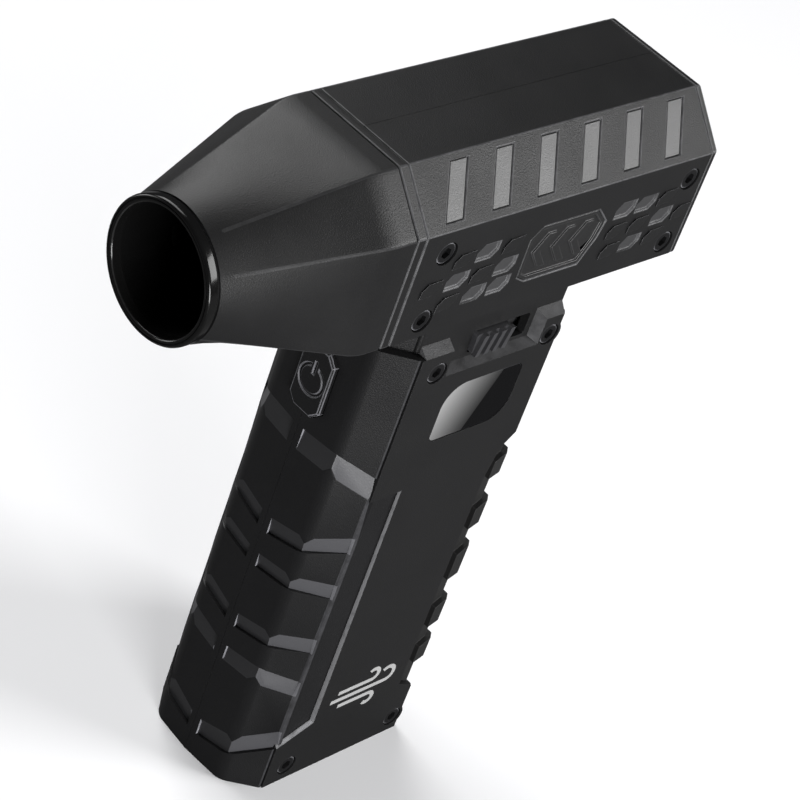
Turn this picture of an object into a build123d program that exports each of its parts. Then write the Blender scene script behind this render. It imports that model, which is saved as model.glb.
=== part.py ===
"""Handheld turbo blower for drying cars: a six-sided head with a faceted nozzle on a pistol handle.

The frame stands the blower on its base: the origin is the middle of the handle's underside, +Z is up,
the nozzle points along -X, and the side with the switch and the display faces -Y. Sizes are in millimetres.
"""

import os
from math import atan2, degrees

from build123d import *

os.makedirs("parts", exist_ok=True)

# Head: its section is a house with a narrow flat roof, two roof slopes and upright sides
head_len = 98.5
roof_half = 14.3
eaves_half = 25.3
roof_rise = 24.9        # outlet axis to roof
eaves_rise = 13.75      # outlet axis to eaves
belly_drop = 15.2       # outlet axis to belly
rear_overhang = 25.6    # head's back behind the handle's back
wall = 2.2

# Nozzle
nozzle_len = 46.1
nozzle_band = 7.0
rim_r = 16.0
rim_len = 2.6
bore_r = 14.1
bore_len = 12.0
rim_groove = 0.5
collar_len = 2.7

# Handle: its plan is a box with a broad front chamfer and a crowned front
handle_len = 57.6
handle_half = 20.05
handle_height = 154.7
front_half = 12.4
front_crown = 0.95
chamfer_len = 9.25      # front crown to ridge, along X
back_chamfer = 1.0
neck_height = 15.0
neck_step = 2.6
base_thick = 2.4

# Fits between pieces
seam = 0.1              # line between two covers that meet
fit = 0.15              # between a cover and what it slips over
run = 0.3               # round pieces that move

# Fasteners: low socket screws, M3
screw_head_r = 2.75
screw_head_h = 1.6
screw_r = 1.5
screw_len = 6.0
screw_socket = 1.25
screw_socket_depth = 1.1
screw_sink = 1.9        # depth of the screw seat below the cover's face
screw_hole_r = 3.0
pad_r = 3.7
pad_depth = 3.8         # cover's face to the inner face of its screw pad

# Places that follow from the sizes above
handle_front = -handle_len / 2
handle_back = handle_len / 2
head_back = handle_back + rear_overhang
seam_x = head_back - head_len
tip_x = seam_x - nozzle_len
belly_z = handle_height
axis_z = belly_z + belly_drop
eaves_z = axis_z + eaves_rise
roof_z = axis_z + roof_rise
ridge_x = handle_front + chamfer_len
shoulder_z = belly_z - neck_height
fan_z = (roof_z + belly_z) / 2

left_head = Plane.XZ.offset(eaves_half)
left_grip = Plane.XZ.offset(handle_half)
left_slope = Plane(
    origin=(seam_x, -eaves_half, eaves_z),
    x_dir=(1, 0, 0),
    z_dir=(0, -(roof_z - eaves_z), eaves_half - roof_half),
)


def keep_left():
    """Cuts the open part down to its left half, with half a seam."""
    split(bisect_by=Plane.XZ.offset(seam / 2), keep=Keep.TOP)


def outline(points, grow=0.0, mode=Mode.ADD):
    """Draws a closed straight-sided outline into the open sketch, grown outwards by grow."""
    with BuildSketch(mode=Mode.PRIVATE) as section:
        with BuildLine():
            Polyline(*points, close=True)
        make_face()
        if grow:
            offset(amount=grow, kind=Kind.INTERSECTION, mode=Mode.REPLACE)
    add(section.sketch, mode=mode)


def house(inset=0.0, mode=Mode.ADD):
    """Draws the head's section into the open sketch, drawn in by inset."""
    corners = [
        (-eaves_half, belly_z), (-eaves_half, eaves_z), (-roof_half, roof_z),
        (roof_half, roof_z), (eaves_half, eaves_z), (eaves_half, belly_z),
    ]
    outline(corners, -inset, mode)


def six_arcs(radius):
    """Draws a circle about the outlet axis as six arcs, one for each side of the house."""
    corners = [(-eaves_half, belly_z), (-eaves_half, eaves_z), (-roof_half, roof_z)]
    angles = [atan2(z - axis_z, y) for y, z in corners]
    angles += [atan2(z - axis_z, -y) for y, z in reversed(corners)]
    turns = [degrees(a) for a in angles]
    with BuildSketch(mode=Mode.PRIVATE) as section:
        with BuildLine():
            for start, end in zip(turns, turns[1:] + turns[:1]):
                CenterArc((0, axis_z), radius, start, -((start - end) % 360))
        make_face()
    add(section.sketch)


def band(x, length, inset, thickness):
    """Adds a six-sided band that starts at x."""
    with BuildSketch(Plane.YZ.offset(x)) as section:
        house(inset)
        house(inset + thickness, mode=Mode.SUBTRACT)
    extrude(section.sketch, amount=length)


def tube(x, length, outer, inner, z=fan_z):
    """Adds a round tube along X that starts at x."""
    with BuildSketch(Plane.YZ.offset(x)) as section:
        with Locations((0, z)):
            Circle(outer)
            if inner:
                Circle(inner, mode=Mode.SUBTRACT)
    extrude(section.sketch, amount=length)


def blades(count, x, root_r, tip_r, chord, thickness, pitch):
    """Adds radial blades centred on x, each turned by pitch about its own length."""
    for turn in range(count):
        out = Vector(0, 0, 1).rotate(Axis.X, 360 * turn / count)
        blade = Plane(origin=(x, 0, fan_z), x_dir=(1, 0, 0), z_dir=out)
        with BuildSketch(blade.offset(root_r)) as section:
            Rectangle(chord, thickness, rotation=pitch)
        extrude(section.sketch, amount=tip_r - root_r)


def clear_pads(x, length):
    """Cuts the open part back from the head shells' screw pads, over a length that starts at x."""
    middle = eaves_half - pad_depth / 2 - fit
    with BuildSketch(Plane.YZ.offset(x)) as section:
        with Locations((-middle, axis_z), (middle, axis_z)):
            Rectangle(pad_depth, 2 * roof_rise)
    extrude(section.sketch, amount=length, mode=Mode.SUBTRACT)


def screws(places, face):
    """Adds a socket screw at each place in both sides of a cover whose face is at y = -face and +face."""
    seat = Plane.XZ.offset(face - screw_sink)
    with BuildSketch(seat) as head:
        with Locations(*places):
            Circle(screw_head_r)
    extrude(head.sketch, amount=screw_head_h)
    with BuildSketch(seat) as shank:
        with Locations(*places):
            Circle(screw_r)
    extrude(shank.sketch, amount=-screw_len)
    with BuildSketch(seat.offset(screw_head_h)) as socket:
        with Locations(*places):
            RegularPolygon(screw_socket, 6, major_radius=False)
    extrude(socket.sketch, amount=-screw_socket_depth, mode=Mode.SUBTRACT)
    mirror(about=Plane.XZ)


def screw_seats(places, face):
    """Adds pads and counterbored holes to the left cover whose face is at y = -face."""
    outside = Plane.XZ.offset(face)
    with BuildSketch(outside) as pads:
        with Locations(*places):
            Circle(pad_r)
    extrude(pads.sketch, amount=-pad_depth)
    with Locations(*[outside.location * Location((x, z, 0)) for x, z in places]):
        CounterBoreHole(screw_r + fit, screw_hole_r, screw_sink, pad_depth)


def finish(piece, name):
    """Labels a piece and writes it."""
    piece.part.label = name
    export_step(piece.part, f"parts/{name}.step")


# ---------------------------------------------------------------- nozzle
with BuildPart() as nozzle_cone:
    with BuildSketch(Plane.YZ.offset(seam_x - nozzle_band)):
        house()
    extrude(amount=nozzle_band)
    with BuildSketch(Plane.YZ.offset(seam_x - nozzle_band)):
        house()
    with BuildSketch(Plane.YZ.offset(tip_x + rim_len + rim_groove)):
        six_arcs(rim_r)
    loft(ruled=True)
    tube(tip_x + rim_len, rim_groove, rim_r - rim_groove, 0, axis_z)
    with BuildSketch(Plane.YZ.offset(seam_x - nozzle_band)):
        house(wall)
    extrude(amount=nozzle_band, mode=Mode.SUBTRACT)
    with BuildSketch(Plane.YZ.offset(seam_x - nozzle_band)):
        house(wall)
    with BuildSketch(Plane.YZ.offset(tip_x + bore_len)):
        six_arcs(bore_r)
    loft(ruled=True, mode=Mode.SUBTRACT)
    with BuildSketch(Plane.YZ.offset(tip_x)):
        with Locations((0, axis_z)):
            Circle(bore_r)
    extrude(amount=bore_len + 0.01, mode=Mode.SUBTRACT)
finish(nozzle_cone, "nozzle_cone")

with BuildPart() as nozzle_rim:
    tube(tip_x, rim_len, rim_r, bore_r, axis_z)
    fillet(nozzle_rim.faces().sort_by(Axis.X)[0].edges(), 0.6)
    fillet(nozzle_rim.faces().sort_by(Axis.X)[-1].edges().sort_by(SortBy.LENGTH)[-1], 0.3)
finish(nozzle_rim, "nozzle_rim")

collar_lap = 3.2
collar_tongue = 1.5
with BuildPart() as collar_ring:
    band(seam_x + seam, collar_len - seam, 0, wall)
    band(seam_x - collar_lap, collar_len + 2 * collar_lap, wall + fit, collar_tongue)
    band(seam_x + seam, collar_len - seam, wall, fit + collar_tongue)
finish(collar_ring, "collar_ring")

# ---------------------------------------------------------------- head shells
cover_thick = 2.3
shell_x = seam_x + collar_len + seam
shell_back = head_back - cover_thick
head_screw_front = 11.1
head_screw_back = 7.0
head_screw_up = 7.4
head_screw_down = 10.7
head_screw_places = [
    (x, axis_z + z)
    for x in (seam_x + head_screw_front, head_back - head_screw_back)
    for z in (head_screw_up, -head_screw_down)
]

inlay_count = 6
inlay_pitch = 14.2
inlay_start = 9.0
inlay_wide = 5.0
inlay_lean = 5.7
inlay_low = 1.9
inlay_high = 14.0
inlay_pocket = 0.8
inlay_thick = 0.6

badge_depth = 1.0
badge_x = seam_x + 51.7
badge_half = 12.7
badge_points = [
    (-1.0, 0.284), (-0.756, 0.52), (0.677, 0.512), (1.0, 0.19),
    (0.905, -0.205), (0.654, -0.67), (-0.74, -0.661), (-0.984, -0.528),
]
badge_outline = [(badge_x + badge_half * u, axis_z + badge_half * v) for u, v in badge_points]

cell_wide = 6.2
cell_tall = 3.8
cell_cut = 1.7
cell_depth = 0.6
pocket_cells = [
    (22.0, 6.3), (29.9, 0.3), (14.7, 0.4), (22.4, -5.4), (30.1, -5.0),
    (67.3, 6.0), (74.5, 6.0), (82.6, 0.4), (74.2, -5.3),
]


def cell(left, top):
    """Draws one honeycomb cell with two opposite corners cut."""
    x = seam_x + left
    z = axis_z + top
    outline([
        (x + cell_cut, z), (x + cell_wide, z), (x + cell_wide, z - cell_tall + cell_cut),
        (x + cell_wide - cell_cut, z - cell_tall), (x, z - cell_tall), (x, z - cell_cut),
    ])


def inlay_shape(place, grow=0.0):
    """Draws one leaning inlay on a roof slope."""
    x = inlay_start + place * inlay_pitch
    outline([
        (x, inlay_low), (x + inlay_wide, inlay_low),
        (x + inlay_wide + inlay_lean, inlay_high), (x + inlay_lean, inlay_high),
    ], grow)


neck_front = handle_front + neck_step + wall
neck_half = handle_half - neck_step - wall
neck_back = handle_back - wall

with BuildPart() as head_half:
    band(shell_x, shell_back - shell_x - seam, 0, wall)
    with BuildSketch(Plane.XY.offset(belly_z)):
        with Locations(((neck_front + neck_back) / 2, 0)):
            Rectangle(neck_back - neck_front, 2 * neck_half)
    extrude(amount=wall, mode=Mode.SUBTRACT)
    with BuildSketch(left_slope):
        for place in range(inlay_count):
            inlay_shape(place, grow=fit)
    extrude(amount=-inlay_pocket, mode=Mode.SUBTRACT)
    with BuildSketch(left_head):
        for left, top in pocket_cells:
            cell(left, top)
    extrude(amount=-cell_depth, mode=Mode.SUBTRACT)
    with BuildSketch(left_head):
        outline(badge_outline)
    extrude(amount=-badge_depth, mode=Mode.SUBTRACT)
    screw_seats(head_screw_places, eaves_half)
    keep_left()

with BuildPart() as head_shell_left:
    add(head_half.part)
finish(head_shell_left, "head_shell_left")

with BuildPart() as head_shell_right:
    add(head_half.part.mirror(Plane.XZ))
finish(head_shell_right, "head_shell_right")

with BuildPart() as roof_inlays:
    with BuildSketch(left_slope.offset(-inlay_pocket)):
        for place in range(inlay_count):
            inlay_shape(place)
    extrude(amount=inlay_thick)
    mirror(about=Plane.XZ)
finish(roof_inlays, "roof_inlays")

badge_rim = 1.1
badge_floor = 0.5
chevron_pitch = 6.2
chevron = [(2.3, 4.6), (-1.2, 0), (2.3, -4.6), (-0.2, -4.6), (-3.7, 0), (-0.2, 4.6)]
with BuildPart() as side_badges:
    with BuildSketch(left_head.offset(-badge_depth)):
        outline(badge_outline, -fit)
    extrude(amount=badge_depth - fit)
    with BuildSketch(left_head.offset(-fit)):
        outline(badge_outline, -badge_rim)
        with Locations(*[(badge_x + place * chevron_pitch, axis_z - 0.9) for place in (-1, 0, 1)]):
            outline(chevron, mode=Mode.SUBTRACT)
    extrude(amount=-badge_floor, mode=Mode.SUBTRACT)
    mirror(about=Plane.XZ)
finish(side_badges, "side_badges")

with BuildPart() as head_screws:
    screws(head_screw_places, eaves_half)
finish(head_screws, "head_screws")

# ---------------------------------------------------------------- rear cover and filter
grille_hole_r = 2.5
grille_pitch_r = 3.2
cover_lap = 2.0
cover_tongue = 1.5
with BuildPart() as rear_cover:
    with BuildSketch(Plane.YZ.offset(shell_back)):
        house()
        with Locations((0, fan_z)):
            with HexLocations(grille_pitch_r, 6, 5):
                RegularPolygon(grille_hole_r, 6, mode=Mode.SUBTRACT)
    extrude(amount=cover_thick)
    chamfer(rear_cover.faces().sort_by(Axis.X)[-1].outer_wire().edges(), 0.8)
    band(shell_back - cover_lap, cover_lap, wall + fit, cover_tongue)
    clear_pads(shell_back - cover_lap, cover_lap)
finish(rear_cover, "rear_cover")

filter_thick = 1.6
with BuildPart() as intake_filter:
    with BuildSketch(Plane.YZ.offset(shell_back - seam - filter_thick)):
        house(wall + cover_tongue + 2 * fit)
    extrude(amount=filter_thick)
finish(intake_filter, "intake_filter")

# ---------------------------------------------------------------- bulkheads
bulkhead_thick = 5.0
throat_r = 14.6


def bulkhead(x):
    """Adds a bulkhead centred on x, with the screw holes that its side screws bite."""
    with BuildSketch(Plane.YZ.offset(x - bulkhead_thick / 2)) as section:
        house(wall + fit)
        with Locations((0, fan_z)):
            Circle(throat_r, mode=Mode.SUBTRACT)
    extrude(section.sketch, amount=bulkhead_thick)
    clear_pads(x - bulkhead_thick / 2, bulkhead_thick)
    with BuildSketch(Plane.XZ) as pilots:
        with Locations((x, axis_z + head_screw_up), (x, axis_z - head_screw_down)):
            Circle(screw_r + seam / 2)
    extrude(pilots.sketch, amount=eaves_half, both=True, mode=Mode.SUBTRACT)


with BuildPart() as front_bulkhead:
    bulkhead(seam_x + head_screw_front)
finish(front_bulkhead, "front_bulkhead")

with BuildPart() as rear_bulkhead:
    bulkhead(head_back - head_screw_back)
finish(rear_bulkhead, "rear_bulkhead")

# ---------------------------------------------------------------- fan
fan_bore_r = 16.5
duct_len = 44.0
duct_x = seam_x + head_screw_front + bulkhead_thick / 2 + 2.0
duct_r = fan_z - belly_z - wall - fit
hub_r = 10.5
hub_wall = 1.0
hub_x = duct_x + 8.0
hub_len = 23.0
shaft_r = 1.5
with BuildPart() as motor_duct:
    tube(duct_x, duct_len, duct_r, fan_bore_r)
finish(motor_duct, "motor_duct")

duct_ring_len = 4.0
with BuildPart() as duct_rings:
    for x in (duct_x + duct_ring_len, duct_x + duct_len - 2 * duct_ring_len):
        with BuildSketch(Plane.YZ.offset(x)):
            house(wall + fit)
            with Locations((0, fan_z)):
                Circle(duct_r + seam / 2, mode=Mode.SUBTRACT)
        extrude(amount=duct_ring_len)
finish(duct_rings, "duct_rings")

with BuildPart() as guide_vanes:
    tube(hub_x, hub_len, hub_r, hub_r - hub_wall)
    blades(7, hub_x + hub_len / 2, hub_r - hub_wall / 2, fan_bore_r - seam / 2, hub_len - 6.0, 1.2, 0)
finish(guide_vanes, "guide_vanes")

cone_len = 7.0
with BuildPart() as hub_cone:
    tube(hub_x - cone_len, cone_len, hub_r, 0)
    fillet(hub_cone.edges().sort_by(Axis.X)[0], cone_len - seam)
finish(hub_cone, "hub_cone")

carrier_thick = 3.0
bearing_r = 4.0
core_r = hub_r - hub_wall - seam / 2
core_inner = 5.6
core_x = hub_x + carrier_thick + 1.5
core_len = hub_len - 2 * carrier_thick - 3.0
carrier_places = {"bearing_carrier_front": hub_x, "bearing_carrier_rear": hub_x + hub_len - carrier_thick}
for name, x in carrier_places.items():
    with BuildPart() as bearing_carrier:
        tube(x, carrier_thick, core_r, bearing_r + seam / 2)
    finish(bearing_carrier, name)

with BuildPart() as ball_bearings:
    for x in carrier_places.values():
        tube(x, carrier_thick, bearing_r, shaft_r + 0.05)
finish(ball_bearings, "ball_bearings")

slot_count = 6
slot_mid_r = (core_r + core_inner) / 2
with BuildPart() as stator_core:
    tube(core_x, core_len, core_r, core_inner)
    with BuildSketch(Plane.YZ.offset(core_x)):
        with Locations((0, fan_z)):
            with PolarLocations(slot_mid_r, slot_count):
                RectangleRounded(2.4, 3.2, 0.6)
    extrude(amount=core_len, mode=Mode.SUBTRACT)
finish(stator_core, "stator_core")

with BuildPart() as stator_coils:
    with BuildSketch(Plane.YZ.offset(core_x - 0.8)):
        with Locations((0, fan_z)):
            with PolarLocations(slot_mid_r, slot_count):
                RectangleRounded(2.0, 2.8, 0.5)
    extrude(amount=core_len + 1.6)
finish(stator_coils, "stator_coils")

shaft_start = hub_x + 0.6
impeller_x = hub_x + hub_len + 1.2
impeller_len = 9.0
nut_len = 2.4
shaft_len = impeller_x + impeller_len + nut_len - shaft_start
with BuildPart() as rotor_shaft:
    tube(shaft_start, shaft_len, shaft_r, 0)
finish(rotor_shaft, "rotor_shaft")

with BuildPart() as rotor_magnet:
    tube(core_x + 0.5, core_len - 1.0, core_inner - run - 0.3, shaft_r)
finish(rotor_magnet, "rotor_magnet")

impeller_nose_r = 4.2
with BuildPart() as impeller:
    with BuildSketch(Plane.YZ.offset(impeller_x)):
        with Locations((0, fan_z)):
            Circle(hub_r - 0.3)
    with BuildSketch(Plane.YZ.offset(impeller_x + impeller_len)):
        with Locations((0, fan_z)):
            Circle(impeller_nose_r)
    loft()
    blades(9, impeller_x + impeller_len / 2, impeller_nose_r - 1.0, fan_bore_r + 4.0, impeller_len + 2.0, 0.9, 38)
    with BuildSketch(Plane.YZ.offset(impeller_x)):
        with Locations((0, fan_z)):
            Circle(fan_bore_r - run - 0.1)
    extrude(amount=impeller_len, mode=Mode.INTERSECT)
    with BuildSketch(Plane.YZ.offset(impeller_x)):
        with Locations((0, fan_z)):
            Circle(shaft_r)
    extrude(amount=impeller_len, mode=Mode.SUBTRACT)
finish(impeller, "impeller")

with BuildPart() as impeller_nut:
    with BuildSketch(Plane.YZ.offset(impeller_x + impeller_len)):
        with Locations((0, fan_z)):
            RegularPolygon(2.75, 6, major_radius=False)
            Circle(shaft_r, mode=Mode.SUBTRACT)
    extrude(amount=nut_len)
finish(impeller_nut, "impeller_nut")

# ---------------------------------------------------------------- handle covers
tab_x = ridge_x + 10.3
tab_high = belly_z - 57.5
tab_low = 19.2
tab_slant = 4.0
tab_sink = 1.0          # the grip's side strip lies this far below the handle's side
tab_edge = 1.2          # flat that the strip leaves beside the ridge
rear_high = belly_z - 50.8
rear_low = 18.5
rear_slant = 4.7
rear_depth = 6.5
tooth_depth = 1.5
tooth_reach = 4.3
tooth_tilt = 2.6
teeth = [(8.3, 57.8), (9.4, 73.4), (11.3, 88.8), (9.6, 107.2), (8.4, 121.2)]  # height, top below the belly
rubber_wall = 2.5

grip_zone = [
    (handle_front - wall, -wall), (ridge_x, -wall), (ridge_x, tab_low - tab_slant), (tab_x, tab_low),
    (tab_x, tab_high), (ridge_x, tab_high), (ridge_x, belly_z + wall), (handle_front - wall, belly_z + wall),
]
rear_zone = [
    (handle_back + wall, rear_high + wall), (handle_back - rear_slant, rear_high - rear_slant),
    (handle_back - rear_depth, rear_high - 3 * rear_slant), (handle_back - rear_depth, rear_low),
    (handle_back + wall, rear_low - rear_slant),
]

handle_screw_front = ridge_x + 6.9
handle_screw_back = handle_back - 3.8
handle_screw_high = belly_z - 20.6
handle_screw_low = 4.9
handle_screw_places = [
    (x, z) for x in (handle_screw_front, handle_screw_back) for z in (handle_screw_high, handle_screw_low)
]

notch_depth = 0.9
notch_end = 1.75
notch_sliver = 0.02
notches = [             # deep and flush edges below the belly, at the seam, the front corner and the ridge
    ((46.3, 52.5), (45.8, 52.1), (50.4, 56.9)),
    ((79.1, 74.1), (76.6, 71.9), (74.2, 69.2)),
    ((89.8, 85.6), (88.6, 84.2), (89.1, 84.4)),
    ((110.0, 105.5), (107.8, 103.0), (107.4, 102.5)),
    ((116.6, 121.1), (114.9, 120.2), (117.3, 121.9)),
    ((148.0, 142.6), (145.8, 139.3), (140.4, 134.7)),
]

button_half = 5.2
button_high = belly_z - 23.3
button_low = belly_z - 41.8
button_clip = 2.4
button_proud = 1.0
button_travel = 0.8
button_flange = 1.0
button_middle = (button_high + button_low) / 2
button_outline = [
    (-button_half, button_low + button_clip), (-button_half, button_high - button_clip),
    (-button_half + button_clip, button_high), (button_half - button_clip, button_high),
    (button_half, button_high - button_clip), (button_half, button_low + button_clip),
    (button_half - button_clip, button_low), (-button_half + button_clip, button_low),
]

window_x = ridge_x + 26.1
window_z = belly_z - 35.3
window_long = 25.4
window_tall = 16.5
window_big_r = 6.5
window_small_r = 2.0
window_thick = 1.8

recess_front = ridge_x + 10.2
recess_long = 31.0
recess_low = belly_z - 22.5
slot_front = ridge_x + 18.5
slot_long = 19.2
slot_high = belly_z - 13.8
slot_tall = 6.3
slider_travel = 7.0
knob_gap = 0.3
knob_long = slot_long - slider_travel - 2 * knob_gap
knob_tall = slot_tall - 2 * knob_gap
recess_x = recess_front + recess_long / 2
neck_side = handle_half - neck_step
floor_inner = neck_side - wall
flange_thick = 1.0
switch_face = floor_inner - 2 * run - flange_thick


def handle_plan(inset=0.0, mode=Mode.ADD):
    """Draws the handle's plan into the open sketch, drawn in by inset."""
    side = [
        (handle_front, 0), (handle_front + front_crown, -front_half), (ridge_x, -handle_half),
        (handle_back - back_chamfer, -handle_half), (handle_back, -handle_half + back_chamfer),
    ]
    outline(side + [(x, -y) for x, y in reversed(side[1:])], -inset, mode)


def neck_plan(inset=0.0, mode=Mode.ADD):
    """Draws the neck's plan, narrower than the handle at the front and sides only, into the open sketch."""
    with BuildSketch(mode=Mode.PRIVATE) as section:
        handle_plan(neck_step + inset)
        with Locations(((handle_back - inset) / 2, 0)):
            Rectangle(handle_back - inset, 2 * (neck_side - inset))
    add(section.sketch, mode=mode)


def handle_ring(low, high, inset, thickness):
    """Adds a wall that follows the handle's plan between two heights."""
    with BuildSketch(Plane.XY.offset(low)) as section:
        handle_plan(inset)
        handle_plan(inset + thickness, mode=Mode.SUBTRACT)
    extrude(section.sketch, amount=high - low)


def through(points, grow=0.0, mode=Mode.ADD):
    """Extrudes an outline of the side view right through the handle."""
    with BuildSketch(Plane.XZ) as section:
        outline(points, grow)
    extrude(section.sketch, amount=2 * handle_half, both=True, mode=mode)


def window_shape(grow=0.0):
    """Draws the display window, with two large and two small corners, into the open sketch."""
    with BuildSketch(mode=Mode.PRIVATE) as section:
        with Locations((window_x, window_z)):
            Rectangle(window_long, window_tall)
        corners = section.vertices()
        big = [corners.sort_by(lambda v: v.X - v.Y)[0], corners.sort_by(lambda v: v.X - v.Y)[-1]]
        fillet(big, window_big_r)
        corners = section.vertices()
        small = [corners.sort_by(lambda v: v.X + v.Y)[0], corners.sort_by(lambda v: v.X + v.Y)[-1]]
        fillet(small, window_small_r)
        if grow:
            offset(amount=grow, mode=Mode.REPLACE)
    add(section.sketch)


def notch_ramp(face, start, end):
    """Cuts a notch that is deep along one edge and runs out flush at the other: (across, deep, flush) at each end."""
    (across_0, deep_0, flush_0), (across_1, deep_1, flush_1) = start, end
    rise = notch_sliver if flush_0 > deep_0 else -notch_sliver
    with BuildSketch(face) as mouth:
        outline([(across_0, deep_0), (across_1, deep_1), (across_1, flush_1), (across_0, flush_0)])
    with BuildSketch(face.offset(-notch_depth)) as bottom:
        outline([(across_0, deep_0), (across_1, deep_1), (across_1, deep_1 + rise), (across_0, deep_0 + rise)])
    loft([mouth.sketch.face(), bottom.sketch.face()], ruled=True, mode=Mode.SUBTRACT)


with BuildPart() as handle_wall:
    handle_ring(0, shoulder_z, 0, wall)
    with BuildSketch(Plane.XY.offset(shoulder_z - wall)):
        handle_plan()
        neck_plan(wall, Mode.SUBTRACT)
    extrude(amount=wall)
    with BuildSketch(Plane.XY.offset(shoulder_z)):
        neck_plan()
        neck_plan(wall, Mode.SUBTRACT)
    extrude(amount=neck_height - seam)

front_corner = Vector(handle_front + front_crown, -front_half, 0)
ridge_corner = Vector(ridge_x, -handle_half, 0)
front_middle = Vector(handle_front, 0, 0)
front_face = Plane(front_middle, front_corner - front_middle, Vector(0, 0, 1).cross(front_corner - front_middle) * -1)
chamfer_face = Plane(front_corner, ridge_corner - front_corner, Vector(0, 0, 1).cross(ridge_corner - front_corner) * -1)
front_wide = (front_corner - front_middle).length
chamfer_wide = (ridge_corner - front_corner).length

with BuildPart() as grip_half:
    add(handle_wall.part)
    through(grip_zone, mode=Mode.INTERSECT)
    with BuildSketch(Plane.YZ.offset(handle_front - wall)):
        outline(button_outline, run)
    extrude(amount=4 * wall, mode=Mode.SUBTRACT)
    keep_left()
    with BuildSketch(left_grip):
        outline([
            (ridge_x + tab_edge, tab_low - tab_slant), (tab_x, tab_low), (tab_x, tab_high),
            (ridge_x + tab_edge, tab_high),
        ])
    extrude(amount=-tab_sink, mode=Mode.SUBTRACT)
    for seam_span, corner_span, ridge_span in notches:
        at_seam, at_corner, at_ridge = [
            [belly_z - drop for drop in span] for span in (seam_span, corner_span, ridge_span)
        ]
        notch_ramp(front_face, (notch_end, *at_seam), (front_wide, *at_corner))
        notch_ramp(chamfer_face, (0, *at_corner), (chamfer_wide, *at_ridge))

with BuildPart() as grip_left:
    add(grip_half.part)
finish(grip_left, "grip_left")

with BuildPart() as grip_right:
    add(grip_half.part.mirror(Plane.XZ))
finish(grip_right, "grip_right")

with BuildPart() as handle_half_shell:
    add(handle_wall.part)
    through(grip_zone, seam, Mode.SUBTRACT)
    through(rear_zone, seam, Mode.SUBTRACT)
    keep_left()

with BuildPart() as handle_shell_left:
    add(handle_half_shell.part)
    with BuildSketch(Plane.XZ.offset(floor_inner)):
        with Locations((recess_x, (shoulder_z + recess_low) / 2 - seam)):
            Rectangle(recess_long + wall, shoulder_z - recess_low + 2 * wall)
    extrude(amount=wall)
    screw_seats(handle_screw_places, handle_half)
    with BuildSketch(left_grip):
        with Locations((recess_x, (shoulder_z + recess_low) / 2)):
            Rectangle(recess_long, shoulder_z - recess_low)
    extrude(amount=-neck_step, mode=Mode.SUBTRACT)
    with BuildSketch(left_grip):
        with Locations((slot_front + slot_long / 2, slot_high - slot_tall / 2)):
            RectangleRounded(slot_long, slot_tall, 0.8)
        window_shape(seam)
    extrude(amount=-handle_half / 2, mode=Mode.SUBTRACT)
finish(handle_shell_left, "handle_shell_left")

with BuildPart() as right_screw_seats:
    add(handle_half_shell.part)
    screw_seats(handle_screw_places, handle_half)

with BuildPart() as handle_shell_right:
    add(right_screw_seats.part.mirror(Plane.XZ))
finish(handle_shell_right, "handle_shell_right")

with BuildPart() as handle_screws:
    screws(handle_screw_places, handle_half)
finish(handle_screws, "handle_screws")

with BuildPart() as rear_teeth:
    handle_ring(rear_low, rear_high, 0, tooth_depth + seam)
    with BuildSketch(Plane.XZ) as tooth_profiles:
        for height, drop in teeth:
            top = belly_z - drop
            outline([
                (handle_back + wall, top), (handle_back, top), (handle_back - tooth_reach, top - tooth_tilt),
                (handle_back - tooth_reach, top - height), (handle_back + wall, top - height + tooth_tilt),
            ])
    extrude(amount=2 * handle_half, both=True, mode=Mode.INTERSECT)

with BuildPart() as rear_grip:
    handle_ring(0, belly_z, tooth_depth, rubber_wall)
    through(rear_zone, mode=Mode.INTERSECT)
    add(rear_teeth.part)
finish(rear_grip, "rear_grip")

# ---------------------------------------------------------------- base and charging port
port_x = handle_front + 6.4
port_wide = 9.0
port_thick = 3.3
port_deep = 7.3
port_skin = 0.35
with BuildPart() as base_plate:
    with BuildSketch():
        handle_plan(wall + fit)
        with Locations((port_x, 0)):
            SlotOverall(port_wide + 2 * run, port_thick + 2 * run, rotation=90, mode=Mode.SUBTRACT)
    extrude(amount=base_thick)
    chamfer(base_plate.faces().sort_by(Axis.Z)[0].inner_wires()[0].edges(), 0.4)
    clear_grip = handle_half - pad_depth - fit
    with BuildSketch(Plane.XY) as pad_room:
        for x in (handle_screw_front, handle_screw_back):
            for side in (-1, 1):
                with Locations((x, side * (clear_grip + pad_depth / 2))):
                    Rectangle(2 * pad_r + 2 * run, pad_depth)
    extrude(amount=base_thick, mode=Mode.SUBTRACT)
finish(base_plate, "base_plate")

with BuildPart() as usb_port:
    with BuildSketch(Plane.XY.offset(fit)):
        with Locations((port_x, 0)):
            SlotOverall(port_wide, port_thick, rotation=90)
            SlotOverall(port_wide - 2 * port_skin, port_thick - 2 * port_skin, rotation=90, mode=Mode.SUBTRACT)
    extrude(amount=port_deep)
    with BuildSketch(Plane.XY.offset(port_deep)):
        with Locations((port_x, 0)):
            SlotOverall(port_wide - port_skin, port_thick - port_skin, rotation=90)
    extrude(amount=-0.8)
    with BuildSketch(Plane.XY.offset(port_deep)):
        with Locations((port_x, 0)):
            Rectangle(0.7, 6.6)
    extrude(amount=-4.8)
finish(usb_port, "usb_port")

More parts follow.
